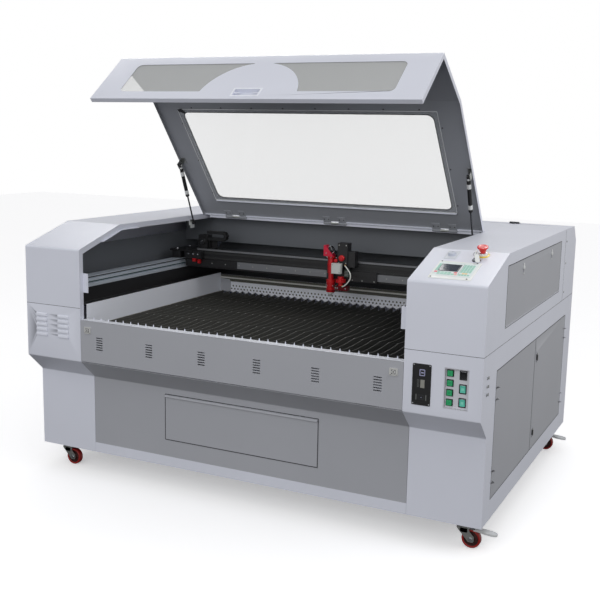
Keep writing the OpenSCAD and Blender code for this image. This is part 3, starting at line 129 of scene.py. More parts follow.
# %% [markdown]
# ## Drawing with a few kinds of shape
# Nearly every small part of a machine is turned, folded, sawn or drawn from
# bar. A turned part is a row of radii and heights, spun about an axis. A
# pressed or sawn part is an outline with a depth. Hoses and cables follow a
# path. One form can hold many such shapes, each with its own finish.


# %% A form that grows by shapes
def rounded(w, h, r, steps=5):
    """Outline of a rectangle with rounded corners about the origin."""
    points = []
    for cx, cy, start in ((1, 1, 0), (-1, 1, 90), (-1, -1, 180), (1, -1, 270)):
        for i in range(steps + 1):
            a = radians(start + 90 * i / steps)
            points.append((cx * (w / 2 - r) + r * cos(a), cy * (h / 2 - r) + r * sin(a)))
    return points


def ring_of(r, n):
    return [(r * cos(2 * pi * i / n), r * sin(2 * pi * i / n)) for i in range(n)]


def mirrored(half):
    """An outline from one half of it, whose other half is its mirror image."""
    return half + [(x, -y) for x, y in half[::-1]]


class Form:
    """A mesh in the making, in millimetres."""

    def __init__(self, place=None):
        self.bm = bmesh.new()
        self.place = place or Matrix()

    def put(self, points, faces, mat=0, place=None):
        m = self.place @ (place or Matrix())
        made = [self.bm.verts.new(m @ Vector(p)) for p in points]
        for f in faces:
            self.bm.faces.new([made[i] for i in f]).material_index = mat
        return self

    def box(self, low, high, mat=0, place=None):
        xs, ys, zs = zip(low, high)
        points = [(x, y, z) for x in xs for y in ys for z in zs]
        faces = [(0, 1, 3, 2), (4, 6, 7, 5), (0, 4, 5, 1), (2, 3, 7, 6), (0, 2, 6, 4), (1, 5, 7, 3)]
        return self.put(points, faces, mat, place)

    def prism(self, outline, depth, mat=0, place=None, start=0.0):
        n = len(outline)
        points = [(x, y, z) for z in (start, start + depth) for x, y in outline]
        faces = [tuple(range(n)), tuple(range(n, 2 * n))]
        faces += [(i, (i + 1) % n, n + (i + 1) % n, n + i) for i in range(n)]
        return self.put(points, faces, mat, place)

    def frame(self, outer, inner, depth, mat=0, place=None):
        """A prism with a hole through it; both outlines have as many points."""
        n = len(outer)
        points = [(x, y, z) for z in (0, depth) for o in (outer, inner) for x, y in o]
        faces = []
        for i in range(n):
            j = (i + 1) % n
            faces += [(i, j, n + j, n + i), (2 * n + i, 2 * n + j, 3 * n + j, 3 * n + i),
                      (i, j, 2 * n + j, 2 * n + i), (n + i, n + j, 3 * n + j, 3 * n + i)]
        return self.put(points, faces, mat, place)

    def slab(self, w, h, t, r, mat=0, place=None):
        return self.prism(rounded(w, h, r), t, mat, place)

    def lathe(self, rows, mat=0, place=None, n=40):
        """Rows of (radius, height), spun about z: they start and end on the axis, or meet."""
        points, rings = [], []
        for i, (r, z) in enumerate(rows):
            if i and rows[i] == rows[0] and r:
                rings.append(rings[0])
            elif r == 0:
                rings.append([len(points)])
                points.append((0, 0, z))
            else:
                rings.append(list(range(len(points), len(points) + n)))
                points += [(x, y, z) for x, y in ring_of(r, n)]
        faces = []
        for a, b in zip(rings, rings[1:]):
            for i in range(n):
                j = (i + 1) % n
                if len(a) == 1 and len(b) > 1:
                    faces.append((a[0], b[i], b[j]))
                elif len(b) == 1 and len(a) > 1:
                    faces.append((a[i], a[j], b[0]))
                elif len(a) > 1:
                    faces.append((a[i], a[j], b[j], b[i]))
        return self.put(points, faces, mat, place)

    def ring(self, rows, mat=0, place=None, n=40):
        """A turned ring, whose last row meets its first."""
        return self.lathe(rows + rows[:1], mat, place, n)

    def stud(self, r, low, high, mat=0, place=None, n=40):
        """A short pin whose end is chamfered by 0.8 mm."""
        rows = [(0, low), (r, low), (r, high - 0.8), (r - 0.8, high), (0, high)]
        return self.lathe(rows, mat, place, n)

    def rod(self, a, b, r, mat=0, edge=0.0):
        """A round bar from a to b with slightly broken edges."""
        a, b = Vector(a), Vector(b)
        length = (b - a).length
        place = Matrix.Translation(a) @ (b - a).to_track_quat("Z", "Y").to_matrix().to_4x4()
        rows = [(0, 0), (r - edge, 0)]
        if edge:
            rows += [(r, edge), (r, length - edge)]
        rows += [(r - edge, length), (0, length)]
        return self.lathe(rows, mat, place, n=28)

    def tube(self, path, r, mat=0, n=12, smooth=6):
        """A round hose along a smooth curve through the points of path."""
        p = [Vector(q) for q in path]
        line = []
        for i in range(len(p) - 1):
            before, after = p[max(i - 1, 0)], p[min(i + 2, len(p) - 1)]
            for k in range(smooth):
                t = k / smooth
                line.append(0.5 * (2 * p[i] + (p[i + 1] - before) * t
                                   + (2 * before - 5 * p[i] + 4 * p[i + 1] - after) * t * t
                                   + (3 * p[i] - before - 3 * p[i + 1] + after) * t ** 3))
        line.append(p[-1])
        points, side = [], None
        for i, c in enumerate(line):
            d = (line[min(i + 1, len(line) - 1)] - line[max(i - 1, 0)]).normalized()
            side = (side - d * side.dot(d)).normalized() if side else d.orthogonal().normalized()
            up = d.cross(side)
            points += [c + side * x + up * y for x, y in ring_of(r, n)]
        faces = [tuple(range(n)), tuple(range(len(points) - n, len(points)))]
        for i in range(len(line) - 1):
            for k in range(n):
                j = (k + 1) % n
                faces.append((i * n + k, i * n + j, (i + 1) * n + j, (i + 1) * n + k))
        return self.put(points, faces, mat)


print("a corner of a rounded plate has", len(rounded(10, 10, 2)) // 4, "points")

# %% [markdown]
# ## From form to finished piece
# A finished piece is a mesh at the frame's origin, with outward faces and
# smooth shading that breaks at real edges. Machined and folded parts never
# have razor edges, so a bevel rounds them by a fraction of a millimetre, and
# that narrow band is what catches the light. Each piece rides one body.


# %% Making a piece
def dressed(name, mesh, body, mats, replaces, bevel, angle):
    for m in mats if isinstance(mats, list) else [mats]:
        mesh.materials.append(m)
    mesh.shade_smooth()
    mesh.set_sharp_from_angle(angle=radians(angle))
    obj = bpy.data.objects.new(name, mesh)
    scene.collection.objects.link(obj)
    if bevel:
        mod = obj.modifiers.new("Broken edges", "BEVEL")
        mod.width = bevel / 1000
        mod.segments = 2
        mod.limit_method = "ANGLE"
        mod.angle_limit = radians(angle)
        mod.use_clamp_overlap = False
        mod.harden_normals = True
    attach(obj, body)
    if replaces:
        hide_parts(*replaces)
    return obj


def piece(name, form, body, mats, slot, replaces=(), bevel=0.0, angle=33):
    form.bm.transform(HOME)
    bmesh.ops.recalc_face_normals(form.bm, faces=form.bm.faces)
    mesh = bpy.data.meshes.new(name)
    form.bm.to_mesh(mesh)
    form.bm.free()
    return dressed(name, mesh, body, mats, replaces, bevel, angle)


SLOT_OF = {row["node"]: row["material_slot"] for row in frame["record"]["subparts"]}


def softened(node, mat, width=0.7, angle=28, flat=True, pick=None):
    """A solid with its shape kept and its edges broken. flat joins the triangles
    of each flat face, and pick says which of several finishes a face gets."""
    source = frame["nodes"][node]
    bm = bmesh.new()
    bm.from_mesh(source.data)
    bm.transform(source.matrix_world)
    bmesh.ops.remove_doubles(bm, verts=bm.verts, dist=2e-5)
    bmesh.ops.dissolve_degenerate(bm, edges=bm.edges, dist=1e-5)
    if flat:
        bmesh.ops.dissolve_limit(bm, verts=bm.verts, edges=bm.edges, angle_limit=radians(0.6))
    bmesh.ops.recalc_face_normals(bm, faces=bm.faces)
    for f in bm.faces:
        f.material_index = pick(f) if pick else 0
    name = node + "_sheet"
    mesh = bpy.data.meshes.new(name)
    bm.to_mesh(mesh)
    bm.free()
    return dressed(name, mesh, body_of(source)[0], mat, [node], width, angle)


print(len(SLOT_OF), "solids have a finish in the record")

# %% [markdown]
# ## Finishes
# Powder paint, anodised metal and moulded plastic differ in three ways: their
# colour, how sharply they mirror, and the fine relief of their surface. Every
# finish here is built from nodes that read the place on the object: slow
# clouds shift the colour by a few parts in a hundred, and a fine grain
# moves the roughness and the relief. Sheet that was rolled or brushed
# has its grain stretched in one direction.


# %% A finish made of nodes
def srgb(rgb):
    """The shader's linear colour for three numbers of a colour chart, 0 to 255."""
    parts = [v / 255 for v in rgb]
    return (*(v / 12.92 if v <= 0.04045 else ((v + 0.055) / 1.055) ** 2.4 for v in parts), 1.0)


def node(mat, kind, **values):
    made = mat.node_tree.nodes.new(kind)
    for key, value in values.items():
        if key in made.inputs:
            made.inputs[key].default_value = value
        else:
            setattr(made, key, value)
    return made


def finish(name, rgb, rough, metal=0.0, vary=0.035, cloud=4.0, grain=900.0, relief=0.00002,
           streak=(1, 1, 1), alpha=1.0, coat=0.0, glow=0.0, painted_glint=None):
    """A finish. vary and cloud are the clouds of colour, grain and relief the fine roughness,
    streak stretches both, and the last argument paints a brighter colour above a height: a painted
    highlight."""
    mat = bpy.data.materials.new(name)
    mat.use_nodes = True
    link = mat.node_tree.links.new
    shader = mat.node_tree.nodes["Principled BSDF"]
    base = srgb(rgb)
    for key, value in (("Base Color", base), ("Metallic", metal), ("Roughness", rough),
                       ("Alpha", alpha), ("Coat Weight", coat), ("Coat Roughness", 0.15)):
        shader.inputs[key].default_value = value
    if glow:
        shader.inputs["Emission Color"].default_value = base
        shader.inputs["Emission Strength"].default_value = glow
    coords = node(mat, "ShaderNodeTexCoord")
    stretch = node(mat, "ShaderNodeMapping", Scale=streak)
    link(coords.outputs["Object"], stretch.inputs["Vector"])
    clouds = node(mat, "ShaderNodeTexNoise", Scale=cloud, Detail=3.0)
    link(stretch.outputs["Vector"], clouds.inputs["Vector"])
    grains = node(mat, "ShaderNodeTexNoise", Scale=grain, Detail=2.0)
    link(stretch.outputs["Vector"], grains.inputs["Vector"])
    tint = node(mat, "ShaderNodeMix", data_type="RGBA")
    for socket, share in ((6, 1 - vary), (7, 1 + vary)):
        tint.inputs[socket].default_value = (*(min(1, c * share) for c in base[:3]), 1)
    link(clouds.outputs["Fac"], tint.inputs[0])
    colour = tint.outputs[2]
    # Above a height the colour turns brighter: a painted highlight.
    if painted_glint:
        low, high, glint_rgb = painted_glint
        parts = node(mat, "ShaderNodeSeparateXYZ")
        link(coords.outputs["Object"], parts.inputs["Vector"])
        glint_mask = node(mat, "ShaderNodeMapRange")
        glint_mask.inputs["From Min"].default_value, glint_mask.inputs["From Max"].default_value = low, high
        link(parts.outputs["Z"], glint_mask.inputs["Value"])
        top = node(mat, "ShaderNodeMix", data_type="RGBA")
        top.inputs[7].default_value = srgb(glint_rgb)
        link(glint_mask.outputs["Result"], top.inputs[0])
        link(colour, top.inputs[6])
        colour = top.outputs[2]
    link(colour, shader.inputs["Base Color"])
    spread = node(mat, "ShaderNodeMapRange")
    for key, value in (("From Min", 0.3), ("From Max", 0.7),
                       ("To Min", rough * 0.88), ("To Max", min(1, rough * 1.12))):
        spread.inputs[key].default_value = value
    link(grains.outputs["Fac"], spread.inputs["Value"])
    link(spread.outputs["Result"], shader.inputs["Roughness"])
    if relief:
        bumps = node(mat, "ShaderNodeBump", Strength=0.6, Distance=relief)
        link(grains.outputs["Fac"], bumps.inputs["Height"])
        link(bumps.outputs["Normal"], shader.inputs["Normal"])
    return mat


def plastic(name, rgb, rough=0.4, **more):
    """A moulded finish, which has no grain to feel."""
    return finish(name, rgb, rough, relief=0, **more)


print("a mid grey of 128 is", round(srgb((128, 128, 128))[0], 3), "in linear light")

# %% The finishes of this machine
PAINT = finish("pale powder paint", (220, 223, 235), 0.42, relief=0.00004)
GREY = finish("grey powder paint", (171, 173, 180), 0.45, relief=0.00004)
# A darker grey for the lid's inside and its hinges: painted shade.
LID_SHADE_GREY = finish("satin grey lining", (154, 157, 164), 0.5, relief=0.00004)
DARK = finish("dark grey paint", (108, 112, 118), 0.5, relief=0.00004)
# Dark strips in the joints and round the doors: painted shade in the gaps.
GAP_SHADE = finish("dark grey seal", (58, 60, 64), 0.6)
BLACK = finish("black anodised metal", (30, 30, 32), 0.42, grain=600)
CAST = finish("black coated castings", (24, 24, 26), 0.5)
ALU = finish("plain aluminium", (196, 198, 202), 0.34, metal=1.0, streak=(1, 14, 14), grain=160)
STEEL = finish("bright steel", (188, 190, 194), 0.24, metal=1.0)
ZINC = finish("zinc plated steel", (172, 174, 172), 0.36, metal=0.9, vary=0.08, cloud=30)
RED_METAL = finish("red anodised metal", (204, 26, 34), 0.28, metal=0.4, coat=0.3)
RED = plastic("red plastic", (228, 44, 44), 0.34, coat=0.2)
WHITE = plastic("pale plastic", (232, 234, 233))
PLASTIC = finish("black plastic", (22, 23, 25), 0.42)
GREEN = plastic("green lit plastic", (20, 158, 98), 0.3, coat=0.4)
TEAL = plastic("teal lit plastic", (98, 205, 182), 0.3, coat=0.4)
MINT = plastic("soft green keys", (150, 205, 188), 0.45)
YELLOW = plastic("yellow plastic", (236, 202, 48))
AMBER = plastic("amber keys", (238, 206, 140), 0.45)
ROSE = plastic("red keys", (232, 92, 104), 0.45)
RUBBER = finish("black rubber", (18, 18, 18), 0.7)
CLEAR = plastic("clear acrylic", (236, 240, 242), 0.06, alpha=0.14, vary=0.01)
HAZY = plastic("clear plastic pane", (232, 234, 234), 0.12, alpha=0.42, vary=0.02)
GLASS = plastic("tube glass", (214, 228, 232), 0.04, alpha=0.3, vary=0.02)
SCREEN = plastic("dark display", (46, 56, 70), 0.12, vary=0.3, cloud=30, coat=0.6)
WHEEL = finish("red polyurethane", (150, 26, 22), 0.38, vary=0.08, cloud=25)
BRASS = finish("brass", (196, 160, 84), 0.3, metal=1.0)
print(len(bpy.data.materials), "finishes")

# %% [markdown]
# ## One item, many places
# Screws, slats, keys, links and belt teeth are one small thing made many
# times. Copying them by hand is slow and copies drift apart. A geometry node
# tree repeats one item instead: in rows, on a handful of marked points, or
# along a path. The tree is run once, and its result is kept as a plain mesh.


# %% Node trees that repeat an item
def add(tree, kind, settings=(), **sources):
    """A node with its options set and its sockets fed by other nodes or outputs."""
    made = tree.nodes.new(kind if "Node" in kind else "GeometryNode" + kind)
    for key, value in dict(settings).items():
        setattr(made, key, value)
    for socket, source in sources.items():
        output = source.outputs[0] if hasattr(source, "outputs") else source
        tree.links.new(output, made.inputs[socket])
    return made


def start_tree(title, **sockets):
    tree = bpy.data.node_groups.new(title, "GeometryNodeTree")
    new_socket = tree.interface.new_socket
    for name, kind in {"Geometry": "Geometry", **sockets, "Finish": "Material"}.items():
        new_socket(name, in_out="INPUT", socket_type="NodeSocket" + kind)
    new_socket("Geometry", in_out="OUTPUT", socket_type="NodeSocketGeometry")
    given = tree.nodes.new("NodeGroupInput").outputs
    return tree, given, add(tree, "ObjectInfo", Object=given["Item"]).outputs["Geometry"]


def end_tree(tree, placed, given):
    real = add(tree, "RealizeInstances", Geometry=placed)
    coated = add(tree, "SetMaterial", Geometry=real, Material=given["Finish"])
    add(tree, "NodeGroupOutput", Geometry=coated)


rows, given, item = start_tree("rows of an item", Item="Object", Count="Int", Step="Vector",
                               Rows="Int", Lift="Vector")
line = add(rows, "MeshLine", Count=given["Count"], Offset=given["Step"])
one_row = add(rows, "InstanceOnPoints", Points=line, Instance=item)
upright = add(rows, "MeshLine", Count=given["Rows"], Offset=given["Lift"])
end_tree(rows, add(rows, "InstanceOnPoints", Points=upright, Instance=one_row), given)

fixings, given, item = start_tree("an item on marked points", Item="Object")
facing = add(fixings, "InputNamedAttribute", {"data_type": "FLOAT_VECTOR"})
facing.inputs["Name"].default_value = "facing"
tilt = add(fixings, "FunctionNodeAlignRotationToVector", {"axis": "Z"},
           Vector=facing.outputs["Attribute"])
end_tree(fixings, add(fixings, "InstanceOnPoints", Points=given["Geometry"], Instance=item,
                      Rotation=tilt), given)

links, given, item = start_tree("an item along a path", Item="Object", Pitch="Float")
path = add(links, "MeshToCurve", Mesh=given["Geometry"])
even = add(links, "ResampleCurve", {"mode": "LENGTH"}, Curve=path, Length=given["Pitch"])
follow = add(links, "FunctionNodeAlignRotationToVector", {"axis": "X", "pivot_axis": "Y"},
             Vector=add(links, "InputTangent"))
end_tree(links, add(links, "InstanceOnPoints", Points=even, Instance=item, Rotation=follow), given)
print("three trees:", [t.name for t in (rows, fixings, links)])


# %% Running a tree, and what the trees are used for
def repeated(name, tree, item, body, mat, values=(), points=((0, 0, 0),), facing=(),
             place=None, **more):
    """Run a tree on a form's shape and keep what it makes as one piece."""
    item_mesh = bpy.data.meshes.new(name + "_item")
    item.bm.to_mesh(item_mesh)
    item.bm.free()
    base = bpy.data.meshes.new(name + "_points")
    lines = [] if facing else [(i, i + 1) for i in range(len(points) - 1)]
    base.from_pydata(list(points), lines, [])
    if facing:
        marks = base.attributes.new("facing", "FLOAT_VECTOR", "POINT")
        for i, way in enumerate(facing):
            marks.data[i].vector = way
    one, many = (bpy.data.objects.new(m.name, m) for m in (item_mesh, base))
    for obj in (one, many):
        scene.collection.objects.link(obj)
    mod = many.modifiers.new("Repeat", "NODES")
    mod.node_group = tree
    values = dict(values, Item=one, Finish=mat)
    for socket in tree.interface.items_tree:
        if socket.in_out == "INPUT" and socket.name in values:
            mod[socket.identifier] = values[socket.name]
    graph = bpy.context.evaluated_depsgraph_get()
    made = bpy.data.meshes.new_from_object(many.evaluated_get(graph), depsgraph=graph)
    many.modifiers.remove(mod)
    for obj in (one, many):
        bpy.data.objects.remove(obj)
    form = Form()
    form.bm.from_mesh(made)
    if place:
        form.bm.transform(place)
    return piece(name, form, body, mat, **more)


def row_of(name, item, mat, count, step, y, z, slot="paint", **more):
    """Count items in a row across the machine, with its middle at x = 0."""
    repeated(name, rows, item, "machine", mat, {"Count": count, "Step": (step, 0, 0), "Rows": 1},
             place=shift(-step * (count - 1) / 2, y, z), slot=slot, **more)


UP, OUT_FRONT, DOWN = (0, 0, 1), (0, -1, 0), (0, 0, -1)


def screws(name, body, mat, r, h, points, facing, place=None):
    """Round heads with a socket, on points that all face one way or each their own."""
    head = Form().lathe([(0, 0), (r, 0), (r, h * 0.45), (r * 0.8, h * 0.88), (r * 0.5, h),
                         (r * 0.42, h * 0.4), (0, h * 0.4)], n=12)
    ways = facing if isinstance(facing, list) else [facing] * len(points)
    repeated(name, fixings, head, body, mat, points=points, facing=ways, place=place, slot="steel")
    print(len(points), name.replace("_", " "))

# %% [markdown]
# ## The cabinet's folded sheet
# Housings, doors, drawer and casings are powder-painted sheet steel, cut by
# laser and folded. Their shape is right already, so each gets only what the
# press brake and the paint give it: edges rounded by less than a millimetre,
# and paint that gathers light along them. Loose faces are joined first, so
# that an edge is one edge.

# %% Painted panels
for panel in ("left_upper_housing", "right_upper_housing", "right_lower_housing", "rear_casing",
              "rear_top_panel", "tube_cover", "base_frame"):
    softened(panel, PAINT)
softened("left_lower_housing", PAINT, width=0.4, flat=False)
for panel in ("front_lower_panel", "front_flap", "drawer", "side_hatch", "front_door", "rear_door"):
    softened(panel, GREY, width=0.6)
softened("inner_walls", DARK)
# A lighter copy of the pale paint: painted light on the bed's well and the rear rail, which stand
# in shade, and a painted highlight on the rim of the lid's pull.
PALE_PAINT_LIT_AGAINST_SHADE = finish("bright pale paint", (240, 243, 252), 0.4, relief=0.00004)
softened("bed_well", PALE_PAINT_LIT_AGAINST_SHADE)
softened("bed_deck", BLACK)

CLOSED_LID = (HOME @ LID).inverted()
OUT_OF_LID = CLOSED_LID.to_3x3().normalized()


def lid_faces_in_shade(face):
    """1 for the faces that look into the closed lid, which get a darker grey as painted shade."""
    n, c = OUT_OF_LID @ face.normal, CLOSED_LID @ face.calc_center_median()
    under = n.z < -0.5 and c.z > 800
    return int(under or (abs(n.x) > 0.5 and n.x * c.x < 0) or (n.y > 0.5 and c.y < 500))


def in_pull(face):
    """1 for the bottom and sides of the pull's recess."""
    return int((CLOSED_LID @ face.calc_center_median()).y > 1)


# The lid's inside faces are a darker grey than its outside: painted shade.
softened("lid_shell", [PAINT, LID_SHADE_GREY], width=0.8, pick=lid_faces_in_shade)
# The pull's rim takes the lighter paint: a painted highlight.
softened("lid_pull", [PALE_PAINT_LIT_AGAINST_SHADE, PAINT], pick=in_pull)

# %% [markdown]
# ## Shade in seams and door gaps
# Where two sheets meet, the eye sees a thin dark line of shade in the gap. Each line is painted
# shade: a dark, slightly proud band. Without them doors and housings look like one casting.

# %% Strips of painted shade in the joints
seam_shade = Form()
for s in (-1, 1):
    inner, outer = sorted((s * 750, s * SIDE_X))
    side, proud = sorted((s * (SIDE_X - 1), s * (SIDE_X + 0.3)))
    seam_shade.box((inner, -0.3, Z_SEAM - 0.8), (outer, 1.2, Z_SEAM + 0.8))
    seam_shade.box((side, -0.3, Z_SEAM - 0.8), (proud, 1643, Z_SEAM + 0.8))
    seam_shade.box((side, 1377.2, Z_SEAM), (proud, 1378.8, Z_TOP - 4))
piece("housing_seams", seam_shade, "machine", GAP_SHADE, "black_plastic")


def gap_shade_strip(door, place, axis, face, width, room=(0, 0, 0)):
    """A dark strip round a door, painted shade for its gap, in the plane of the sheet that holds
    it. room is how far it stands back at the low end, the high end and the bottom."""
    low, high = on_drawing(door)
    first, last, bottom = low[axis] - room[0], high[axis] + room[1], low.z - room[2]
    w, h = last - first, high.z - bottom
    strip = Form(place((first + last) / 2, (bottom + high.z) / 2, face))
    outer = rounded(w + 2 * width, h + 2 * width, 1.2, 2)
    strip.frame(outer, rounded(w + 0.4, h + 0.4, 0.4, 2), 0.5)
    piece(door + "_seal", strip, "machine", GAP_SHADE, "black_plastic")
    print(door, round(w), round(h), "mm")


gap_shade_strip("drawer", on_front, 0, 88.1, 3.0)
# A door sinks into its gap on the hinge side as it opens, so the strip of painted gap shade stands
# back there.
for door, room in (("side_hatch", (0, 0, 3)), ("front_door", (3, 0, 0)), ("rear_door", (0, 3, 0))):
    gap_shade_strip(door, on_side, 1, SIDE_X - 0.1, 2.4, room)

# %% [markdown]
# ## The bed: knife slats
# The sheet being cut rests on thin steel slats whose upper edge is scalloped, so that the beam
# meets very little metal. Each slat is one laser-cut blank, and the bed is that blank in a row. The
# finish paints the tips near white above the blackened sides, by height: a painted glint.


# %% Slats in a row
SLAT_PITCH, SLATS, SLAT_LENGTH = 39.4, 38, 1138
# An outline of (y, z) that runs along x.
BAR = Matrix(((0, 0, 1, 0), (1, 0, 0, 0), (0, 1, 0, 0), (0, 0, 0, 1)))


def slat_edge(y):
    """Height of the upper edge at y: scallops 250 mm long and 5.5 mm deep."""
    u = ((y - 118) / 250) % 1
    return 50 - 22 * u * (1 - u)


edge = [(y, slat_edge(y)) for y in [0] + [18 + 25 * k for k in range(45)] + [SLAT_LENGTH]]
blank = Form().prism(edge + [(SLAT_LENGTH, 0), (0, 0)], 3, place=BAR, start=-1.5)
# The slats' tips, above 704.2 mm, are painted near white: a painted glint.
SLAT = finish("blackened slats", (80, 80, 76), 0.6, relief=0.00004,
              painted_glint=(0.7042, 0.7052, (206, 207, 204)))
row_of("slats", blank, SLAT, SLATS, SLAT_PITCH, 46, 655, "black_metal",
       replaces=["knife_slats"], bevel=0.25)
tooth = Form().prism([(-3.2, 0), (3.2, 0), (0.8, 10), (-0.8, 10)], 1.8, place=turn(90, "X"))
row_of("front_comb", tooth, PAINT, SLATS - 1, SLAT_PITCH, 44, 736.5, bevel=0.2)
side_bar = Form()
for s in (-1, 1):
    side_bar.box((s * 734 - 1.5, 46, 690), (s * 734 + 1.5, 1184, 705.5))
piece("slat_side_bars", side_bar, "machine", SLAT, "black_metal", bevel=0.3)
print(SLATS, "slats,", SLAT_PITCH, "mm apart")

# %% [markdown]
# ## The rail that holds the slats at the back
# Two staggered rows of holes and a saw-toothed lower edge are punched in a thin strip. One hole
# with the metal round it is a cell, and cells side by side are the strip. Behind it stands a dark
# plate: painted shade. Its fold runs up to the deck, and a bar is screwed along the top, so pale
# that its colour holds a painted highlight.


# %% Punched cells, teeth and the bar above
def cell(w, low, high, r):
    """A plate of one hole at the origin, thick towards -y."""
    corners = [Vector(c) for c in ((-w / 2, low), (w / 2, low), (w / 2, high), (-w / 2, high))]
    sides = zip(corners, corners[1:] + corners[:1])
    outline = [a.lerp(b, k / 4) for a, b in sides for k in range(4)]
    return Form().frame(outline, [p.normalized() * r for p in outline], 2, place=turn(90, "X"))


HOLE_STEP, WELL_REAR, STRIP_TOP = SLAT_PITCH / 2, 1190, 757
holes = 0
for row, height, low, high, count in (("upper", STRIP_TOP - 23, -8, 23, 75),
                                      ("lower", STRIP_TOP - 39, -9, 8, 76)):
    one_hole = cell(HOLE_STEP, low, high, 4.8)
    row_of("rail_holes_" + row, one_hole, PALE_PAINT_LIT_AGAINST_SHADE, count, HOLE_STEP, WELL_REAR, height)
    holes += count
point = [(-SLAT_PITCH / 2, 12), (0, 0), (SLAT_PITCH / 2, 12)]
row_of("rail_teeth", Form().prism(point, 2, place=turn(90, "X")), PALE_PAINT_LIT_AGAINST_SHADE, SLATS - 1, SLAT_PITCH,
       WELL_REAR, 697, bevel=0.15)
OLIVE_AND_SHADE = finish("dark olive paint", (92, 92, 84), 0.5)
# A bar whose near-white colour is partly a painted highlight.
BAR_WITH_PAINTED_HIGHLIGHT = finish("bright bar", (240, 240, 234), 0.25, metal=0.2, streak=(1, 14, 14), grain=160)
rail = Form()
for s in (-1, 1):
    inner, outer = sorted((s * 738.75, s * 748))
    rail.box((inner, 1188, 709), (outer, 1190, STRIP_TOP))
# A dark plate behind the holes: painted shade.
rail.box((-748, 1190.5, 706), (748, 1191.5, STRIP_TOP), mat=1)
rail.box((-748, 1188, STRIP_TOP), (748, 1190, 792), mat=1)
rail.box((-748, 1182, 774), (748, 1188, 781), mat=2)
# The rear deck sheet takes the pale paint so that it reads grey in the beam's shadow: painted
# light.
rail.box((-747, 1190, 792.1), (747, 1376, 793.2), mat=3)
# The notched corner plate is grey: painted shade at the end of the left wall.
notched = [(-748, 701), (-735, 697), (-722, 703), (-702, 697), (-684, 704), (-684, 757),
           (-692, 768), (-748, 772)]
rail.prism(notched, 2, mat=4, place=on_front(0, 0, 1187.5))
piece("rail_fold_and_bar", rail, "machine", [PALE_PAINT_LIT_AGAINST_SHADE, OLIVE_AND_SHADE, BAR_WITH_PAINTED_HIGHLIGHT, PAINT, GREY], "paint",
      ["rear_slat_rail"], bevel=0.4)
print(holes, "holes in two rows")

# %% [markdown]
# ## Louvres in the left housing
# A louvre is a slit whose lower lip is pressed outward, so that warm air
# leaves and drips run past. The hood is a quarter of a barrel with
# closed ends. Two columns of five hoods come from one form.

# %% Pressed louvres
quarter = [radians(a) for a in range(0, 91, 15)]
outer = [(-4.9 * sin(a), -13.3 * (1 - cos(a))) for a in quarter]
inner = [(-3.9 * sin(a), -1 - 12.3 * (1 - cos(a))) for a in quarter]
hood = Form().prism(outer + inner[::-1], 58, place=BAR, start=-29)
for end in (-29.5, 28.6):
    hood.prism(outer + [(0, -13.3)], 0.9, place=BAR, start=end)
repeated("louvres", rows, hood, "machine", PAINT,
         {"Count": 2, "Step": (120, 0, 0), "Rows": 5, "Lift": (0, 0, -22.3)},
         place=shift(-965, 0, 748.4), slot="paint", bevel=0.3)
print("ten hoods")

# %% [markdown]
# ## Swivel casters
# A caster is pressed and turned steel round a polyurethane tyre. Two cheeks
# and a crown make the fork, a raceway turns under the plate, and a bolt with
# hexagon ends is the axle. The tyre has a flat tread and rounded shoulders, on a
# hub with spokes. Fork and wheel are separate pieces, because each turns. The
# right-hand casters carry a long brake pedal.

# %% Four forks and four wheels
CASTER_X, FRONT_Y, REAR_Y = 962, 160, 1488
TRAIL, WHEEL_Z = 34, 37.5
PEDAL = finish("cast pedal", (216, 218, 220), 0.4, metal=0.15)
HUB = finish("dark hub nylon", (58, 24, 22), 0.5)


def brake_pedal(fork):
    tread = shift(TRAIL + 13, 0, 76.2) @ turn(5, "Y")
    sole = mirrored([(-4, -13), (20, -13), (40, -18), (66, -18), (80, -14), (87, -6)])
    inner = mirrored([(2, -9), (21, -9), (41, -14), (64, -14), (76, -11), (82, -5)])
    fork.prism(sole, 7.4, mat=2, place=tread, start=-5)
    fork.frame(sole, inner, 1.8, mat=2, place=tread @ shift(0, 0, 2.3))
    fork.box((14, -13, 76.2), (TRAIL + 16, 13, 80.6), mat=1)


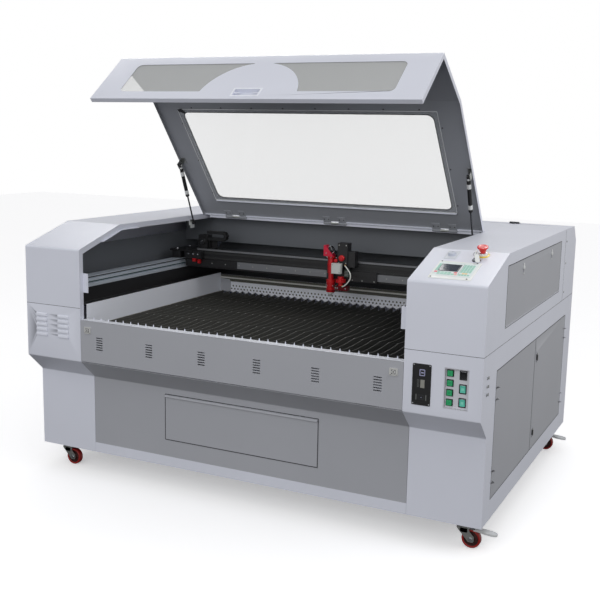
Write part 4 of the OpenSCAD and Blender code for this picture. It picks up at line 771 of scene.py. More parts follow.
def caster(tag, x, y):
    fork = Form(shift(x, y, 0))
    cheek = [(-24, 81), (-20, 74), (TRAIL - 13, 30), (TRAIL - 9, 25.5), (TRAIL + 9, 25.5),
             (TRAIL + 13, 31), (TRAIL + 13.5, 48), (30, 66), (26, 81)]
    for s in (-1, 1):
        fork.prism(cheek, 3, place=on_front(0, 0, s * 16 + 1.5))
        fork.slab(30, 18, 1.2, 4, place=shift(6, s * 17.5, 70) @ turn(90 * s, "X"))
        fork.rod((TRAIL, s * 17.5, WHEEL_Z), (TRAIL, s * 19.2, WHEEL_Z), 9, mat=1, edge=0.5)
        nut = shift(TRAIL, s * 17.6, WHEEL_Z) @ turn(-90 * s, "X")
        fork.prism(ring_of(7, 6), 3.2, mat=1, place=nut)
    fork.slab(50, 35, 4, 8, place=shift(1, 0, 81))
    fork.lathe([(0, 85), (23, 85), (24.5, 87), (24.5, 89.5), (21, 90.6), (21, 91.6), (25.5, 92.4),
                (26, 95), (25, 98.6), (0, 98.6)])
    fork.rod((TRAIL, -16, WHEEL_Z), (TRAIL, 16, WHEEL_Z), 4.9, mat=1)
    if x > 0:
        brake_pedal(fork)
    piece(f"caster_fork_{tag}_pressing", fork, "fork_" + tag, [ZINC, STEEL, PEDAL], "steel",
          ["caster_fork_" + tag], bevel=0.4)

    wheel = Form(on_front(x + TRAIL, WHEEL_Z, y))
    wheel.ring(mirrored([(29, -10), (31, -12.4), (34, -13), (36.4, -11.6), (37.5, -8.6)]), n=64)
    wheel.ring(mirrored([(5.1, -13.8), (11, -13.8), (12.4, -12.5), (13, -9), (16, -5), (26, -4.2),
                         (28, -9.5), (29.4, -10)]), mat=1, n=64)
    for k in range(6):
        for z in (-7, 7):
            wheel.box((12, -1.3, z - 2.4), (28.4, 1.3, z + 2.4), mat=1, place=turn(60 * k, "Z"))
    piece(f"caster_wheel_{tag}_tyre", wheel, "wheel_" + tag, [WHEEL, HUB], "red_wheel",
          ["caster_wheel_" + tag], bevel=0.3)


for end, y in (("f", FRONT_Y), ("r", REAR_Y)):
    for side, x in (("l", -CASTER_X), ("r", CASTER_X)):
        caster(end + side, x, y)
print("four casters with wheels of", 2 * WHEEL_Z, "mm")

# %% [markdown]
# ## The sloping control face
# An operator reads and types here. A moulded base plate is screwed to the
# slope; on it lies a keypad film with a display behind a dark window. The keys are
# soft domes in rows, so one dome and a tree make each block of keys. Beside
# it sit a small meter plate, a key switch and the stop button.

# %% Controller plate, display and keys
FACE = on_slope(894, 104)
FILM = plastic("pale keypad film", (222, 232, 232), 0.35)
SHADE = plastic("grey print", (120, 128, 132))
BEZEL = plastic("dark display edge", (42, 47, 56), 0.3)
panel = Form(FACE)
panel.slab(162, 152, 2.6, 6, place=shift(2.5, 4, 0))
panel.slab(148, 122, 1.0, 3, mat=1, place=shift(1, 11, 2.6))
panel.slab(77, 62, 0.6, 1.5, mat=2, place=shift(-21, 20, 3.6))
panel.slab(71, 56, 0.5, 1, mat=3, place=shift(-21, 20.5, 4.2))
panel.box((23, -41, 3.6), (24, 62, 3.75), mat=4)
piece("control_base", panel, "machine", [WHITE, FILM, BEZEL, SCREEN, SHADE], "pale_plastic",
      ["control_panel"], bevel=0.35)

PALE_ROSE = plastic("rose keys", (238, 168, 160), 0.45)
# Each block: width and height of a key, finish, first key, then count and step
# across and count and step up the slope.
BLOCKS = (("left", 10, 10.5, MINT, -64.5, -5, 1, 0, 5, 12.8),
          ("below", 11.5, 10, MINT, -50, -35, 5, 13.4, 1, 0),
          ("below_2", 11.5, 8, MINT, -50, -22.5, 4, 13.4, 1, 0),
          ("right", 9, 11.5, MINT, 30.5, -8, 4, 10.6, 5, 14),
          ("red", 12, 10, ROSE, -63.5, -20, 2, 75, 1, 0),
          ("rose", 11, 9, PALE_ROSE, 15.5, -35, 1, 0, 1, 0),
          ("amber", 9, 10, AMBER, 41, -22, 2, 10.6, 1, 0),
          ("corner", 9, 10, MINT, 30.5, -35, 4, 10.6, 1, 0))
for name, w, h, mat, x, s, count, step, high, lift in BLOCKS:
    dome = Form().prism(rounded(w, h, 1.2, 2), 0.6)
    dome.prism(rounded(w * 0.8, h * 0.8, 1, 2), 0.4, start=0.6)
    repeated("keys_" + name, rows, dome, "machine", mat,
             {"Count": count, "Step": (step, 0, 0), "Rows": high, "Lift": (0, lift, 0)},
             place=FACE @ shift(x, s, 3.6), slot="pale_plastic")
DARK_SCREW = finish("dark screws", (70, 66, 66), 0.4, metal=0.6)
screws("control_screws", "machine", DARK_SCREW, 3.2, 2.0,
       [(x, s, 2.5) for x in (-67.5, 67.5) for s in (-70, 70)], UP, on_slope(892.5, 110))
print(len(BLOCKS), "blocks of keys")

# %% Meter plate, key switch and stop button
STOP, KEY_SWITCH = on_slope(957, 264), on_slope(946, 214)
PALE_PLATE = plastic("pale grey plate", (214, 218, 226))
METER_INK = plastic("faint grey print", (190, 194, 204))
METER_KNOB = plastic("pale blue grey knob", (194, 200, 214), 0.35)
meter = Form(on_slope(843, 245))
meter.slab(48, 72, 2.1, 4)
meter.frame(rounded(42, 66, 3), rounded(40, 64, 3), 0.3, mat=1, place=shift(0, 0, 2.0))
for k in range(3):
    meter.box((-16, 8 + 8 * k, 2.0), (16, 8.8 + 8 * k, 2.35), mat=1)
meter.lathe([(0, 2), (16.4, 2), (16.4, 3.6), (15, 4.2), (14.4, 9.6), (12.6, 11.2), (0, 11.4)],
            mat=2, place=shift(0, 1, 0))
meter.box((-1, 5, 11.3), (1, 12, 11.8), mat=3)
piece("meter", meter, "machine", [PALE_PLATE, METER_INK, METER_KNOB, SHADE], "pale_plastic",
      bevel=0.3)

collar = Form(STOP)
collar.lathe([(0, 0), (25, 0), (25, 2.6), (24, 3.2), (0, 3.2)], n=64)
collar.ring([(10.2, 3), (14.6, 3), (15.2, 4), (15.2, 10.6), (14.4, 12), (10.2, 12)], mat=1)
collar.ring([(15.2, 3), (19.6, 3), (19.6, 9.4), (18.6, 10.6), (15.2, 10.6)], mat=2, n=48)
piece("stop_collar", collar, "machine", [YELLOW, STEEL, WHITE], "pale_plastic", bevel=0.3)

mushroom = Form(STOP)
mushroom.lathe([(0, 7.6), (10, 7.6), (10, 16.4), (11.6, 16.4), (12.4, 19), (14, 24), (17, 27.6),
                (20, 30), (21, 32.4), (21, 35), (20, 36.8), (17.4, 37.6), (14, 37), (0, 36.6)],
               n=64)
piece("stop_mushroom", mushroom, "stop", RED, "red_plastic", ["stop_button"])

barrel = Form(KEY_SWITCH)
barrel.lathe([(0, 0), (15, 0), (15, 3.6), (13.6, 5), (11.8, 5.2), (11.4, 10.2), (10.4, 11.2),
              (0, 11.2)], n=48)
barrel.ring([(15, 0), (16.8, 0), (16.8, 2.0), (15, 2.8)], mat=1, n=48)
piece("key_barrel", barrel, "machine", [STEEL, PLASTIC], "steel", bevel=0.2)

key = Form(KEY_SWITCH)
key.lathe([(0, 11.3), (7.2, 11.3), (7.2, 14.4), (6.4, 15.3), (0, 15.3)])
key.box((-1.2, -3.6, 14), (1.2, 3.6, 25))
key.slab(19, 17, 3, 6, mat=1, place=shift(0, 0, 31) @ turn(90, "Y") @ shift(0, 0, -1.5))
hang = Vector((13, -30, -20)).to_track_quat("Y", "Z").to_matrix().to_4x4()
key.slab(17, 38, 2.6, 6, mat=1, place=shift(9, -20, 18) @ hang)
key.frame(ring_of(11, 24), ring_of(9.2, 24), 1.6, place=shift(1, -4, 27) @ turn(35, "X"))
cord = [(0, -2, 35), (2.6, -6, 37), (4.4, -9, 33.5), (3.2, -6.5, 30), (0.4, -3.2, 31)]
key.tube(cord, 0.7, n=8)
piece("switch_key_and_tag", key, "key", [STEEL, WHITE], "steel", ["switch_key"], bevel=0.25)
print("stop button 42 mm across")

# %% [markdown]
# ## Sockets and switches on the right leg
# The black plate is a bought-in set of sockets: a square data socket, a card
# slot with a pale window, and a small socket between two brackets. Next
# to it a shallow tray is let into the sheet, so that the switches cannot be
# knocked. The push buttons are lit caps in black bodies; the rockers lean.

# %% Socket plate
SOCKETS = on_front(821.5, 661)
LILAC = plastic("lilac socket plastic", (176, 178, 214))
RIBS = plastic("dark grey plastic", (92, 94, 94), 0.45)
WINDOW = plastic("pale grey plastic", (142, 142, 136))
EDGE = plastic("satin black plastic", (40, 41, 44), 0.3)
sockets = Form(SOCKETS)
sockets.frame(rounded(72, 157, 4), rounded(56, 133, 2), 2.6)
sockets.box((-28.2, -66.7, -14), (28.2, 66.7, 1.9))
sockets.frame(rounded(64, 149, 3), rounded(62.6, 147.6, 3), 0.25, mat=5, place=shift(0, 0, 2.6))
sockets.frame(rounded(21, 24, 2), rounded(16, 19, 1), 1.6, mat=1, place=shift(2, 45.5, 1.4))
sockets.box((-6.2, 35.8, 1.5), (10.2, 55.2, 1.95), mat=2)
sockets.box((-3, 43, 1.9), (7, 47, 2.6), mat=1)
for k in range(9):
    sockets.box((-17, -10 + 3.4 * k, 1.9), (-8, -8.4 + 3.4 * k, 2.8), mat=3)
sockets.slab(16, 31, 0.8, 1, mat=4, place=shift(4, 3.5, 1.8))
sockets.frame(rounded(26, 20, 2), rounded(16, 10, 1), 0.8, mat=5, place=shift(0, -48, 1.8))
sockets.box((-6, -50, 1.8), (6, -46, 2.4), mat=2)
for s in (-1, 1):
    sockets.box((19 * s - 2.2, -59, 1.8), (19 * s + 2.2, -37, 2.3), mat=3)
sockets.lathe([(0, 2.3), (1.6, 2.3), (1.2, 2.9), (0, 3)], mat=1, place=shift(1, -48, 0), n=12)
piece("socket_plate", sockets, "machine", [PLASTIC, LILAC, EDGE, RIBS, WINDOW, EDGE],
      "black_plastic", ["port_plate"], bevel=0.3)
screws("socket_screws", "machine", STEEL, 3.3, 1.6,
       [(x, z, 2.6) for x in (-31, 31) for z in (-73, 73)], UP, SOCKETS)

# %% Switch tray, lit buttons and rockers
PALE_TRAY = finish("tray paint", (206, 207, 214), 0.45, relief=0.00003)
LIT = plastic("bright green print", (96, 214, 150), 0.3)
LIT_TEAL = plastic("bright teal lens", (140, 226, 204), 0.25)
TRAY_X, TRAY_Z, BUTTON_X, ROCKER_X = 952.5, 660, -26, 22
BUTTON_Z = [56 - 36.6 * i for i in range(4)]
ROCKER_Z = [53 - 51.3 * i for i in range(3)]
tray = Form(on_front(TRAY_X, TRAY_Z))
tray.frame(rounded(91.4, 152.4, 1.5), rounded(87, 148, 1), 14, place=shift(0, 0, -14))
tray.box((-45.5, -76, -14), (45.5, 76, -12))
for z in BUTTON_Z:
    rim = shift(BUTTON_X, z, -12)
    tray.frame(rounded(26, 26, 2), rounded(22.6, 22.6, 1.5), 3.4, mat=1, place=rim)
    tray.box((-38, z - 12, -38), (-14, z + 12, -14), mat=1)
for z in ROCKER_Z:
    hole = rounded(21, 29, 1)
    tray.frame(rounded(27.5, 35.5, 2), hole, 2.6, mat=1, place=shift(ROCKER_X, z, -12))
    tray.frame(rounded(26, 32, 1), hole, 18, mat=1, place=shift(ROCKER_X, z, -30))
piece("switch_tray_folded", tray, "machine", [PALE_TRAY, PLASTIC], "paint", ["switch_tray"],
      bevel=0.3)

for i, z in enumerate(BUTTON_Z, 1):
    cap = Form(on_front(TRAY_X + BUTTON_X, TRAY_Z + z))
    cap.slab(22, 22, 2.6, 2.2, mat=1, place=shift(0, 0, -9.7))
    cap.slab(20.6, 20.6, 3.2, 2, place=shift(0, 0, -7.2))
    cap.frame(rounded(14, 14, 1), rounded(12.6, 12.6, 1), 0.25, mat=2, place=shift(0, 0, -4.0))
    cap.box((-7, -7, -14), (7, 7, -9.6), mat=1)
    piece(f"green_cap_{i}", cap, f"green_{i}", [GREEN, PLASTIC, LIT], "green_plastic",
          [f"green_button_{i}"], bevel=0.7)

leaning = [(-8.2, -13.2), (-7.4, -7), (-7.0, 0), (-7.4, 7), (-8.2, 13.2), (-5, 13.2), (1, 5),
           (1, -5), (-5, -13.2)]
for i, z in enumerate(ROCKER_Z, 1):
    finishes, slot = [TEAL, LIT_TEAL], "teal_plastic"
    if i == 1:
        finishes, slot = [PLASTIC, EDGE], "black_plastic"
    cap = Form(shift(TRAY_X + ROCKER_X, 17, TRAY_Z + z) @ turn(6, "X"))
    cap.prism(leaning, 20.4, place=BAR, start=-10.2)
    cap.slab(11, 15, 0.3, 1.5, mat=1, place=on_front(0, 0, -7.0))
    piece(f"rocker_cap_{i}", cap, f"rock_{i}", finishes, slot, [f"rocker_{i}"], bevel=0.5)
print("four buttons and three rockers")

# %% [markdown]
# ## The lid's windows and its hardware
# The lid is one folded sheet with an acrylic pane under each opening. A thin dark strip runs round
# the cut edge and hides the gap. Small screws with wide heads hold the panes. Everything is drawn
# in the closed lid, flat and square, and one matrix swings it open about the hinge line.

# %% Panes, edge strip and pane screws
PANE_EDGE = plastic("sawn acrylic edge", (236, 238, 240), 0.35)
pane = Form(LID @ shift(0, 624.5, 1125.1))
pane.slab(1276, 569, 2.9, 5)
pane.frame(rounded(1276.6, 569.6, 5), rounded(1273, 566, 4), 3.0, mat=1, place=shift(0, 0, -0.05))
piece("lid_pane", pane, "lid", [CLEAR, PANE_EDGE], "clear_pane", ["lid_window"])
softened("fascia_windows", HAZY, width=0.4)
EDGE_STRIP = finish("black edge strip", (26, 27, 30), 0.5, relief=0.00003)
strip = Form(LID @ shift(0, 627.5, 1128.1))
strip.frame(rounded(1238, 539, 34, 8), rounded(1231, 532, 30.5, 8), 5.6)
corner = [(-637, -288), (-612, -292), (-598, -268), (-606, -262), (-622, -272), (-634, -272)]
strip.prism(corner, 1.2, place=shift(0, 0, -4.4))
piece("window_edge_strip", strip, "lid", EDGE_STRIP, "black_plastic", bevel=0.4)
spots = [(x, y, 1131) for y in (335, 915) for x in range(-560, 561, 160)]
spots += [(x, y, 1131) for x in (-645, 645) for y in (429, 655, 867)]
screws("pane_screws", "lid", DARK_SCREW, 3.6, 1.8, spots, DOWN, LID)
lip = Form(LID)
for x in (-624, 30):
    lip.box((x, 2.0, 789.5), (x + 594, 5.4, 797))
piece("fascia_ledge", lip, "lid", PAINT, "paint", bevel=0.5)


# %% Hinges, pull and brackets
def by_place(face):
    """0 for the hinges inside the lid, in its painted-shade grey, 1 for the ball studs of the
    struts.
    """
    return int(abs((DRAWING @ face.calc_center_median()).x) > 700)


softened("lid_hardware", [LID_SHADE_GREY, ZINC], width=0.4, angle=40, pick=by_place)
softened("fasteners", ZINC, width=0.3, angle=40)
BRACKET = finish("pale zinc bracket", (206, 210, 210), 0.4, metal=0.2)
PIN_Y, PIN_Z = 892, 1097
brackets = Form()
for s in (-1, 1):
    brackets.box((s * 746.5 - 3.4, 871, 1084), (s * 746.5 + 3.4, 913, 1109))
    plate = shift(s * 742, PIN_Y, 1083) @ turn(-90 * s, "Y") @ shift(-1, 0, -1)
    brackets.slab(30, 36, 2, 4, place=plate)
    brackets.rod((s * 744, PIN_Y, PIN_Z), (s * 741, PIN_Y, PIN_Z), 6.4, edge=1)
piece("strut_brackets", brackets, "machine", BRACKET, "steel", bevel=0.6)
leaf_holes = [(x + s * 40 + d, 1000, 1127.6)
              for x in (-560, 0, 560) for s in (-1, 1) for d in (-11, 11)]
screws("hinge_screws", "lid", DARK_SCREW, 3.0, 1.4, leaf_holes, DOWN, LID)

# %% [markdown]
# ## Gas struts
# Two gas springs hold the lid. Each is a black cylinder with a crimped gland,
# out of which a thin bright rod comes, and both ends turn on ball studs. The
# drawing runs down the strut from its upper stud, so both sides are the
# same rows of radii, placed by the same matrix.

# %% Cylinder and rod
STRUT_X = 734
top_pin = LID @ Vector((0, 660, 1093))
reach_down = Vector((0, PIN_Y, PIN_Z)) - top_pin
BAND = finish("silver band", (226, 228, 228), 0.3, metal=0.25)
DARK_ROD = finish("nitrided rod", (84, 86, 90), 0.25, metal=0.7)


def on_strut(side):
    """The strut on one side: z runs down it from its upper stud and x is the machine's."""
    x, z = Vector((1, 0, 0)), reach_down.normalized()
    ways = Matrix((x, z.cross(x), z)).transposed().to_4x4()
    return shift(side * STRUT_X, top_pin.y, top_pin.z) @ ways


for title, side in (("left", -1), ("right", 1)):
    cylinder = Form(on_strut(side))
    cylinder.lathe([(0, 17), (8, 17), (9, 18.5), (9, 24), (8.2, 25), (8.2, 26.2), (9, 27.2),
                    (9, 133), (9, 156), (9.4, 157), (9.4, 166), (7.6, 168), (4.1, 168), (4.1, 150),
                    (0, 150)])
    for low, high in ((34, 55), (134, 154)):
        cylinder.ring([(8.8, low), (9.5, low), (9.6, low + 0.8), (9.6, high - 0.8), (9.5, high),
                       (8.8, high)], mat=1)
    cylinder.rod((0, 0, 7), (0, 0, 18), 6.2, mat=1)
    cylinder.ring(mirrored([(4.1, -6), (9, -6), (10, -5)]), place=turn(90, "Y"))
    cylinder.lathe([(0, 6), (5.2, 6), (4.6, 7.6), (0, 8)], mat=1, place=turn(90 * -side, "Y"))
    piece(title + "_strut_body", cylinder, title + "_cylinder", [CAST, BAND], "black_metal",
          [title + "_strut_cylinder"], bevel=0.2)
    rod = Form(on_strut(side) @ shift(0, 0, reach_down.length))
    rod.rod((0, 0, -190), (0, 0, -8), 4)
    rod.lathe([(0, -17), (5, -17), (6, -16), (6, -8), (0, -8)], mat=1)
    rod.lathe(mirrored([(0, -5), (8.4, -5), (9.2, -4)]), mat=1, place=turn(90, "Y"))
    piece(title + "_strut_rod_and_eye", rod, title + "_rod", [DARK_ROD, CAST], "steel",
          [title + "_strut_rod"], bevel=0.2)
print("struts", round(reach_down.length, 1), "mm long with the lid open")

# %% [markdown]
# ## Rails, beam and drag chain
# The gantry rolls on two grooved aluminium profiles. Its beam is black
# anodised, with a ground guide for the head in front and a toothed belt above
# the guide. Profiles are drawn through a die, so their grain runs one way. The
# folded cable runs in a drag chain, whose links follow a path: two straight
# runs and the bend between them.

# %% Rails and beam
DRAWN = finish("drawn aluminium, long way", (196, 204, 214), 0.38, metal=0.2, streak=(16, 1, 16),
               grain=120)
GUIDE = finish("ground guide rail", (130, 132, 136), 0.34, metal=0.4, streak=(1, 16, 16), grain=120)
TEAL_LINE = finish("teal shadowed groove", (22, 62, 64), 0.4)
softened("y_rails", DRAWN, width=0.5)
# Dark strips on the rails' faces are painted shade in their grooves; the lower one is teal as well.
grooves = Form()
for s in (-1, 1):
    for z, mat in ((899, 0), (878, 1)):
        grooves.box((s * 814.8 - 0.4, 46, z), (s * 814.8 + 0.4, 1376, z + 4.5), mat=mat)
piece("rail_grooves", grooves, "machine", [CAST, TEAL_LINE], "black_plastic")
softened("gantry_beam", BLACK, width=0.8)
softened("gantry_rail", GUIDE, width=0.4)
ends = Form()
for s in (-1, 1):
    ends.box((s * 805 - 58, 882, 953.6), (s * 805 + 58, 1048, 955.4))
    for y in (905, 1025):
        ends.lathe([(0, 0), (11, 0), (11, 5), (9, 6.5), (0, 6.5)], mat=1,
                   place=shift(s * 842, y, 954.4))
    ends.box((s * 770 - 26, 922, 880), (s * 770 + 26, 929.6, 944))
mirror_hole = on_front(-719, 996, 948)
ends.ring([(14.6, 0), (17.6, 0), (18, 0.6), (18, 3.6), (17, 4.2), (14.6, 4.2)], place=mirror_hole)
ends.lathe([(0, 0), (13, 0), (13, 0.8), (0, 0.8)], mat=2, place=mirror_hole)
ends.stud(4.2, 0.8, 3.2, mat=1, place=mirror_hole, n=20)
ends.box((-785, 917.9, 873.2), (-490, 929, 907.4))
ends.box((-790, 892, 912), (-692, 922, 950))
ends.box((-860, 892, 946), (-770, 926, 950))
ends.box((-742, 890, 896), (-722, 906, 912), mat=3)
ends.box((-712, 892, 888), (-698, 906, 908), mat=3)
piece("beam_end_plates", ends, "gantry", [BLACK, STEEL, EDGE, RED_METAL], "black_metal", bevel=0.6)
bolts = [(s * 770 + dx, 922, z) for s in (-1, 1) for dx, z in ((-14, 900), (14, 900), (0, 926))]
bolts += [(805 + dx, y, 955.4) for dx in (-40, 0) for y in (905, 965, 1030)]
bolts += [(x, 892, 934) for x in (-766, -738, -710)]
ways = [OUT_FRONT] * 6 + [UP] * 6 + [OUT_FRONT] * 3
screws("beam_bolts", "gantry", STEEL, 5.2, 3.2, bolts, ways)
screws("guide_bolts", "gantry", ZINC, 3.2, 0.8,
       [(x, 918, 890.3) for x in range(-720, 721, 80)], OUT_FRONT)

# %% Toothed belt in front of the beam
BELT = finish("belt backing", (40, 41, 42), 0.6, relief=0.00005)
belt = Form()
for z in (912, 936):
    belt.box((-736, 926.4, z), (736, 928.2, z + 10))
piece("belt_band", belt, "gantry", BELT, "black_plastic", bevel=0.2)
BELT_TEETH = 293
tooth = Form().prism([(-1.5, 0), (1.5, 0), (1.1, 1.4), (-1.1, 1.4)], 10)
repeated("belt_teeth", rows, tooth, "gantry", RUBBER,
         {"Count": BELT_TEETH, "Step": (5, 0, 0), "Rows": 2, "Lift": (0, 0, 24)},
         place=shift(-730, 928.2, 912), slot="black_plastic")
print("two runs of", BELT_TEETH, "teeth")

# %% Drag chain along its path
link = Form()
for y in (2.4, 28):
    link.prism(rounded(14.2, 15.6, 3, 3), 2.4, place=on_front(0, 0, y))
link.box((-5.5, 2.4, -7.6), (5.5, 25.8, -6.0)).box((-4.5, 2.4, 6.0), (4.5, 25.8, 7.6))
BEND_X, BEND_Z, BEND_R = -605, 1026.3, 17
bend = [(BEND_X + BEND_R * sin(radians(a)), 0, BEND_Z + BEND_R * cos(radians(a)))
        for a in range(0, 181, 15)]
route = [(-690, 0, BEND_Z + BEND_R)] + bend + [(-684, 0, BEND_Z - BEND_R)]
LINK = finish("black nylon links", (30, 31, 33), 0.45, relief=0.00003)
repeated("chain_links", links, link, "gantry", LINK, {"Pitch": 13.2}, points=route,
         place=shift(0, 960, 0), slot="black_plastic", replaces=["drag_chain"], bevel=0.4)
foot = Form()
foot.box((-686, 960, 958.3), (-650, 988, 962)).box((-686, 984.4, 958.3), (-650, 988, 1004))
foot.box((-684, 960, 962), (-681, 988, 1002))
foot.tube([(x, 974, z) for x, y, z in route[:1] + bend[::3] + route[-1:]], 4, mat=1)
piece("chain_foot_and_cable", foot, "gantry", [CAST, RUBBER], "black_metal", bevel=0.3)
print("chain path", len(route), "points")

# %% [markdown]
# ## The cutting head
# The head is a stack of turned parts, anodised red: a nozzle, a focus tube that
# slides in its clamp, and a block whose sloping face carries the last mirror. The
# stack beside it takes the air. Turned parts are rows of radii, with the
# grooves and chamfers that the lathe leaves. The black carriage holds them.

# %% Focus tube and nozzle
HEAD_Y = 880
HEAD = shift(50, 0, 790)
STACK = shift(0, HEAD_Y, 0)
NOZZLE = finish("satin nozzle", (216, 218, 218), 0.35, metal=0.2)
DEEP_RED = finish("dark red anodised ring", (104, 8, 20), 0.3, metal=0.5)
tube = Form(HEAD @ STACK)
tube.lathe([(0, 2.5), (2, 2.5), (2, 0), (4.4, 0), (5, 0.6), (12.6, 13.2), (13.4, 14), (16.4, 14),
            (17, 14.6), (17, 20.4), (16.4, 21), (0, 21)], mat=3, n=48)
tube.lathe([(0, 21), (21.2, 21), (22, 21.8), (22, 37.4), (21, 38.6), (20, 39), (19.2, 40),
            (19.2, 43), (20, 44), (20, 47), (19.2, 48), (20, 49), (20, 59.4), (21.2, 60.6),
            (22, 61.4), (22, 66.6), (20.6, 67.6), (20.6, 69.4), (22, 70.4), (22, 80.8), (21, 82),
            (14, 82), (13, 83), (13, 158), (0, 158)], n=56)
tube.ring([(21.6, 26), (22.5, 26.4), (22.5, 30.6), (21.6, 31)], mat=2, n=56)
for angle in (200, 320):
    aim = turn(angle, "Z") @ shift(19, 0, 52) @ turn(90, "Y")
    tube.stud(3.4, 0, 5.8, mat=1, n=16, place=aim)
piece("focus_tube_turned", tube, "focus", [RED_METAL, STEEL, DEEP_RED, NOZZLE], "red_metal",
      ["focus_tube"], angle=30)
print("focus tube of 158 mm with a nozzle")

# %% Clamp, mirror block and air stack
CRIMSON = finish("crimson anodised block", (214, 24, 62), 0.3, metal=0.35, coat=0.3)
head = Form(HEAD)
head.ring([(13.1, 112), (16, 112), (17, 113), (17, 124), (16, 125), (16, 127), (17, 128),
           (17, 149), (19, 150), (19, 157), (17, 158), (17, 172), (16.2, 173), (16.2, 175),
           (17, 176), (17, 185), (21, 186), (21.4, 187), (21.4, 193), (20.6, 194), (13.1, 194)],
          place=STACK, n=56)
head.box((-14, 886, 124), (14, 907.6, 178))
block = [(-34, 0), (14, 0), (14, 6), (-25, 52), (-34, 52)]
head.prism(block, 36, mat=1, place=on_front(0, 194, 898))
mirror = shift(-5, HEAD_Y, 220) @ turn(53, "Y")
head.lathe([(0, 0), (16, 0), (16, 8.6), (15, 9.6), (15, 13.4), (16.4, 14.2), (16.4, 16.6),
            (15.4, 17.4), (12.6, 17.4), (12, 15.4), (0, 15.4)], mat=2, place=mirror, n=48)
head.ring([(16.5, 14.4), (17.1, 14.8), (17.1, 16.4), (16.5, 16.8)], mat=3, place=mirror, n=48)
head.lathe([(0, 15.3), (9.6, 15.3), (9.6, 15.9), (0, 16.1)], mat=3, place=mirror, n=32)
for a in (90, 210, 330):
    head.lathe([(0, 6), (2.2, 6), (2.2, 21), (1.6, 21.8), (0, 21.8)], mat=3, n=12,
               place=mirror @ turn(a, "Z") @ shift(19, 0, -4))
head.lathe([(0, 0), (15, 0), (15, 8), (13.6, 10), (10, 10.6), (9.4, 13), (0, 13.4)],
           place=on_front(59, 189, 871.7))
head.lathe([(0, 0), (9, 0), (9, 9), (8, 10.4), (0, 10.8)], place=on_front(30, 176, 871.7), n=32)
air = shift(52, HEAD_Y, 0)
head.lathe([(25, 71), (24, 70), (0, 70)], place=air, n=56)
head.lathe([(0, 70), (24, 70), (25, 71), (25, 77), (23.8, 78), (23.8, 80), (25, 81), (25, 87),
            (24, 88), (15.6, 88), (15, 89), (15, 99), (14, 100), (0, 100)], place=air, n=56)
head.rod((52, HEAD_Y, 55), (52, HEAD_Y, 71), 12)
head.box((36, 860, 34), (94, 894, 56), mat=4)
head.box((44, 890, 72), (60, 907.6, 86))
for x in (44, 86):
    head.stud(4, 0, 3.4, mat=3, n=16, place=on_front(x, 45, 860))
head.rod((71, 854, 55), (71, 861, 55), 4.2, mat=5, edge=0.5)
head.prism(ring_of(6, 6), 3, mat=5, place=on_front(71, 55, 860.4))
head.lathe([(0, 26), (7, 26), (9.5, 34), (0, 34)], mat=3, place=air, n=24)
piece("laser_head_turned", head, "carriage", [RED_METAL, CRIMSON, BLACK, STEEL, DEEP_RED, BRASS],
      "red_metal", ["laser_head"], bevel=0.35, angle=30)
thumbs = [(-21.5, 872, 190), (-12, 859.5, 190), (8, 859, 190), (30, 871.5, 189), (-20, 862, 208)]
screws("head_screws", "carriage", STEEL, 2.6, 2.2, [(x, y - 0.4, z) for x, y, z in thumbs],
       OUT_FRONT, HEAD)

# %% Carriage, sensor box and air hose
CAP_Y, BEARER_Y, SENSOR_Y = 871.7, 907.7, 837.3
carriage = Form()
carriage.box((14, BEARER_Y, 865.3), (274, 917.7, 915.3))
carriage.box((50, 917.7, 907.6), (180, 925.7, 915.3)).box((50, 917.7, 865.3), (180, 925.7, 873.0))
carriage.box((34, BEARER_Y, 905), (137, 917.7, 990))
carriage.box((85, CAP_Y, 940), (137, 917.7, 1050)).box((137, 877.7, 936), (173, 917.7, 1012))
carriage.box((116, 883.7, 888), (140, BEARER_Y, 922), mat=1)
carriage.box((90, 859, 926), (100, BEARER_Y, 938))
for k in range(4):
    carriage.box((119, 882.9, 893 + 7 * k), (137, 884, 896 + 7 * k), mat=2)
carriage.box((146, 906.6, 890), (262, 907.9, 894))
carriage.lathe([(0, 0), (4.2, 0), (4.2, 7), (3.4, 8), (0, 8)], mat=3,
               place=on_front(128, 946, CAP_Y), n=20)
BOARD = finish("green circuit board", (58, 76, 66), 0.4, relief=0.00003)
piece("carriage_blocks", carriage, "carriage", [BLACK, BOARD, ZINC, BRASS], "black_metal",
      ["head_carriage"], bevel=0.8)
box = Form(shift(10, 0, 0))
box.box((59, 837.7, 906), (107, 859.7, 956)).box((61, 837.2, 908), (105, 837.9, 954))
for x, z in ((65, 949), (101, 913)):
    box.lathe([(0, 0), (3, 0), (2.4, 1.2), (0, 1.2)], mat=1, place=on_front(x, z, SENSOR_Y), n=16)
SENSOR = finish("sensor housing", (206, 210, 206), 0.4, relief=0.00003)
piece("sensor_box", box, "carriage", [SENSOR, ZINC], "black_metal", bevel=1.2)
cap_bolts = [(x, CAP_Y, z) for x in (93, 129) for z in (955, 1040)]
cap_bolts += [(x, BEARER_Y, 872) for x in (30, 150, 200, 262)]
screws("carriage_bolts", "carriage", ZINC, 3.4, 2.6, cap_bolts, OUT_FRONT)

hose = Form(HEAD)
hose.tube([(80, 861, 155), (86, 857.7, 151), (94, 854.7, 144), (102, 852.7, 135), (109, 851.7, 126),
           (113, 850.7, 117), (114, 849.7, 106), (113, 848.7, 96), (108, 847.7, 86),
           (101, 847.2, 76), (93, 846.7, 68), (84, 847.2, 61), (77, 848.2, 57), (72.5, 851.1, 55)],
          2.8, n=14, smooth=4)
HOSE = plastic("white air hose", (226, 228, 222), 0.28, coat=0.3)
piece("air_hose_white", hose, "carriage", HOSE, "pale_plastic", ["air_hose"])
print("hose of 5.6 mm, held at both ends")

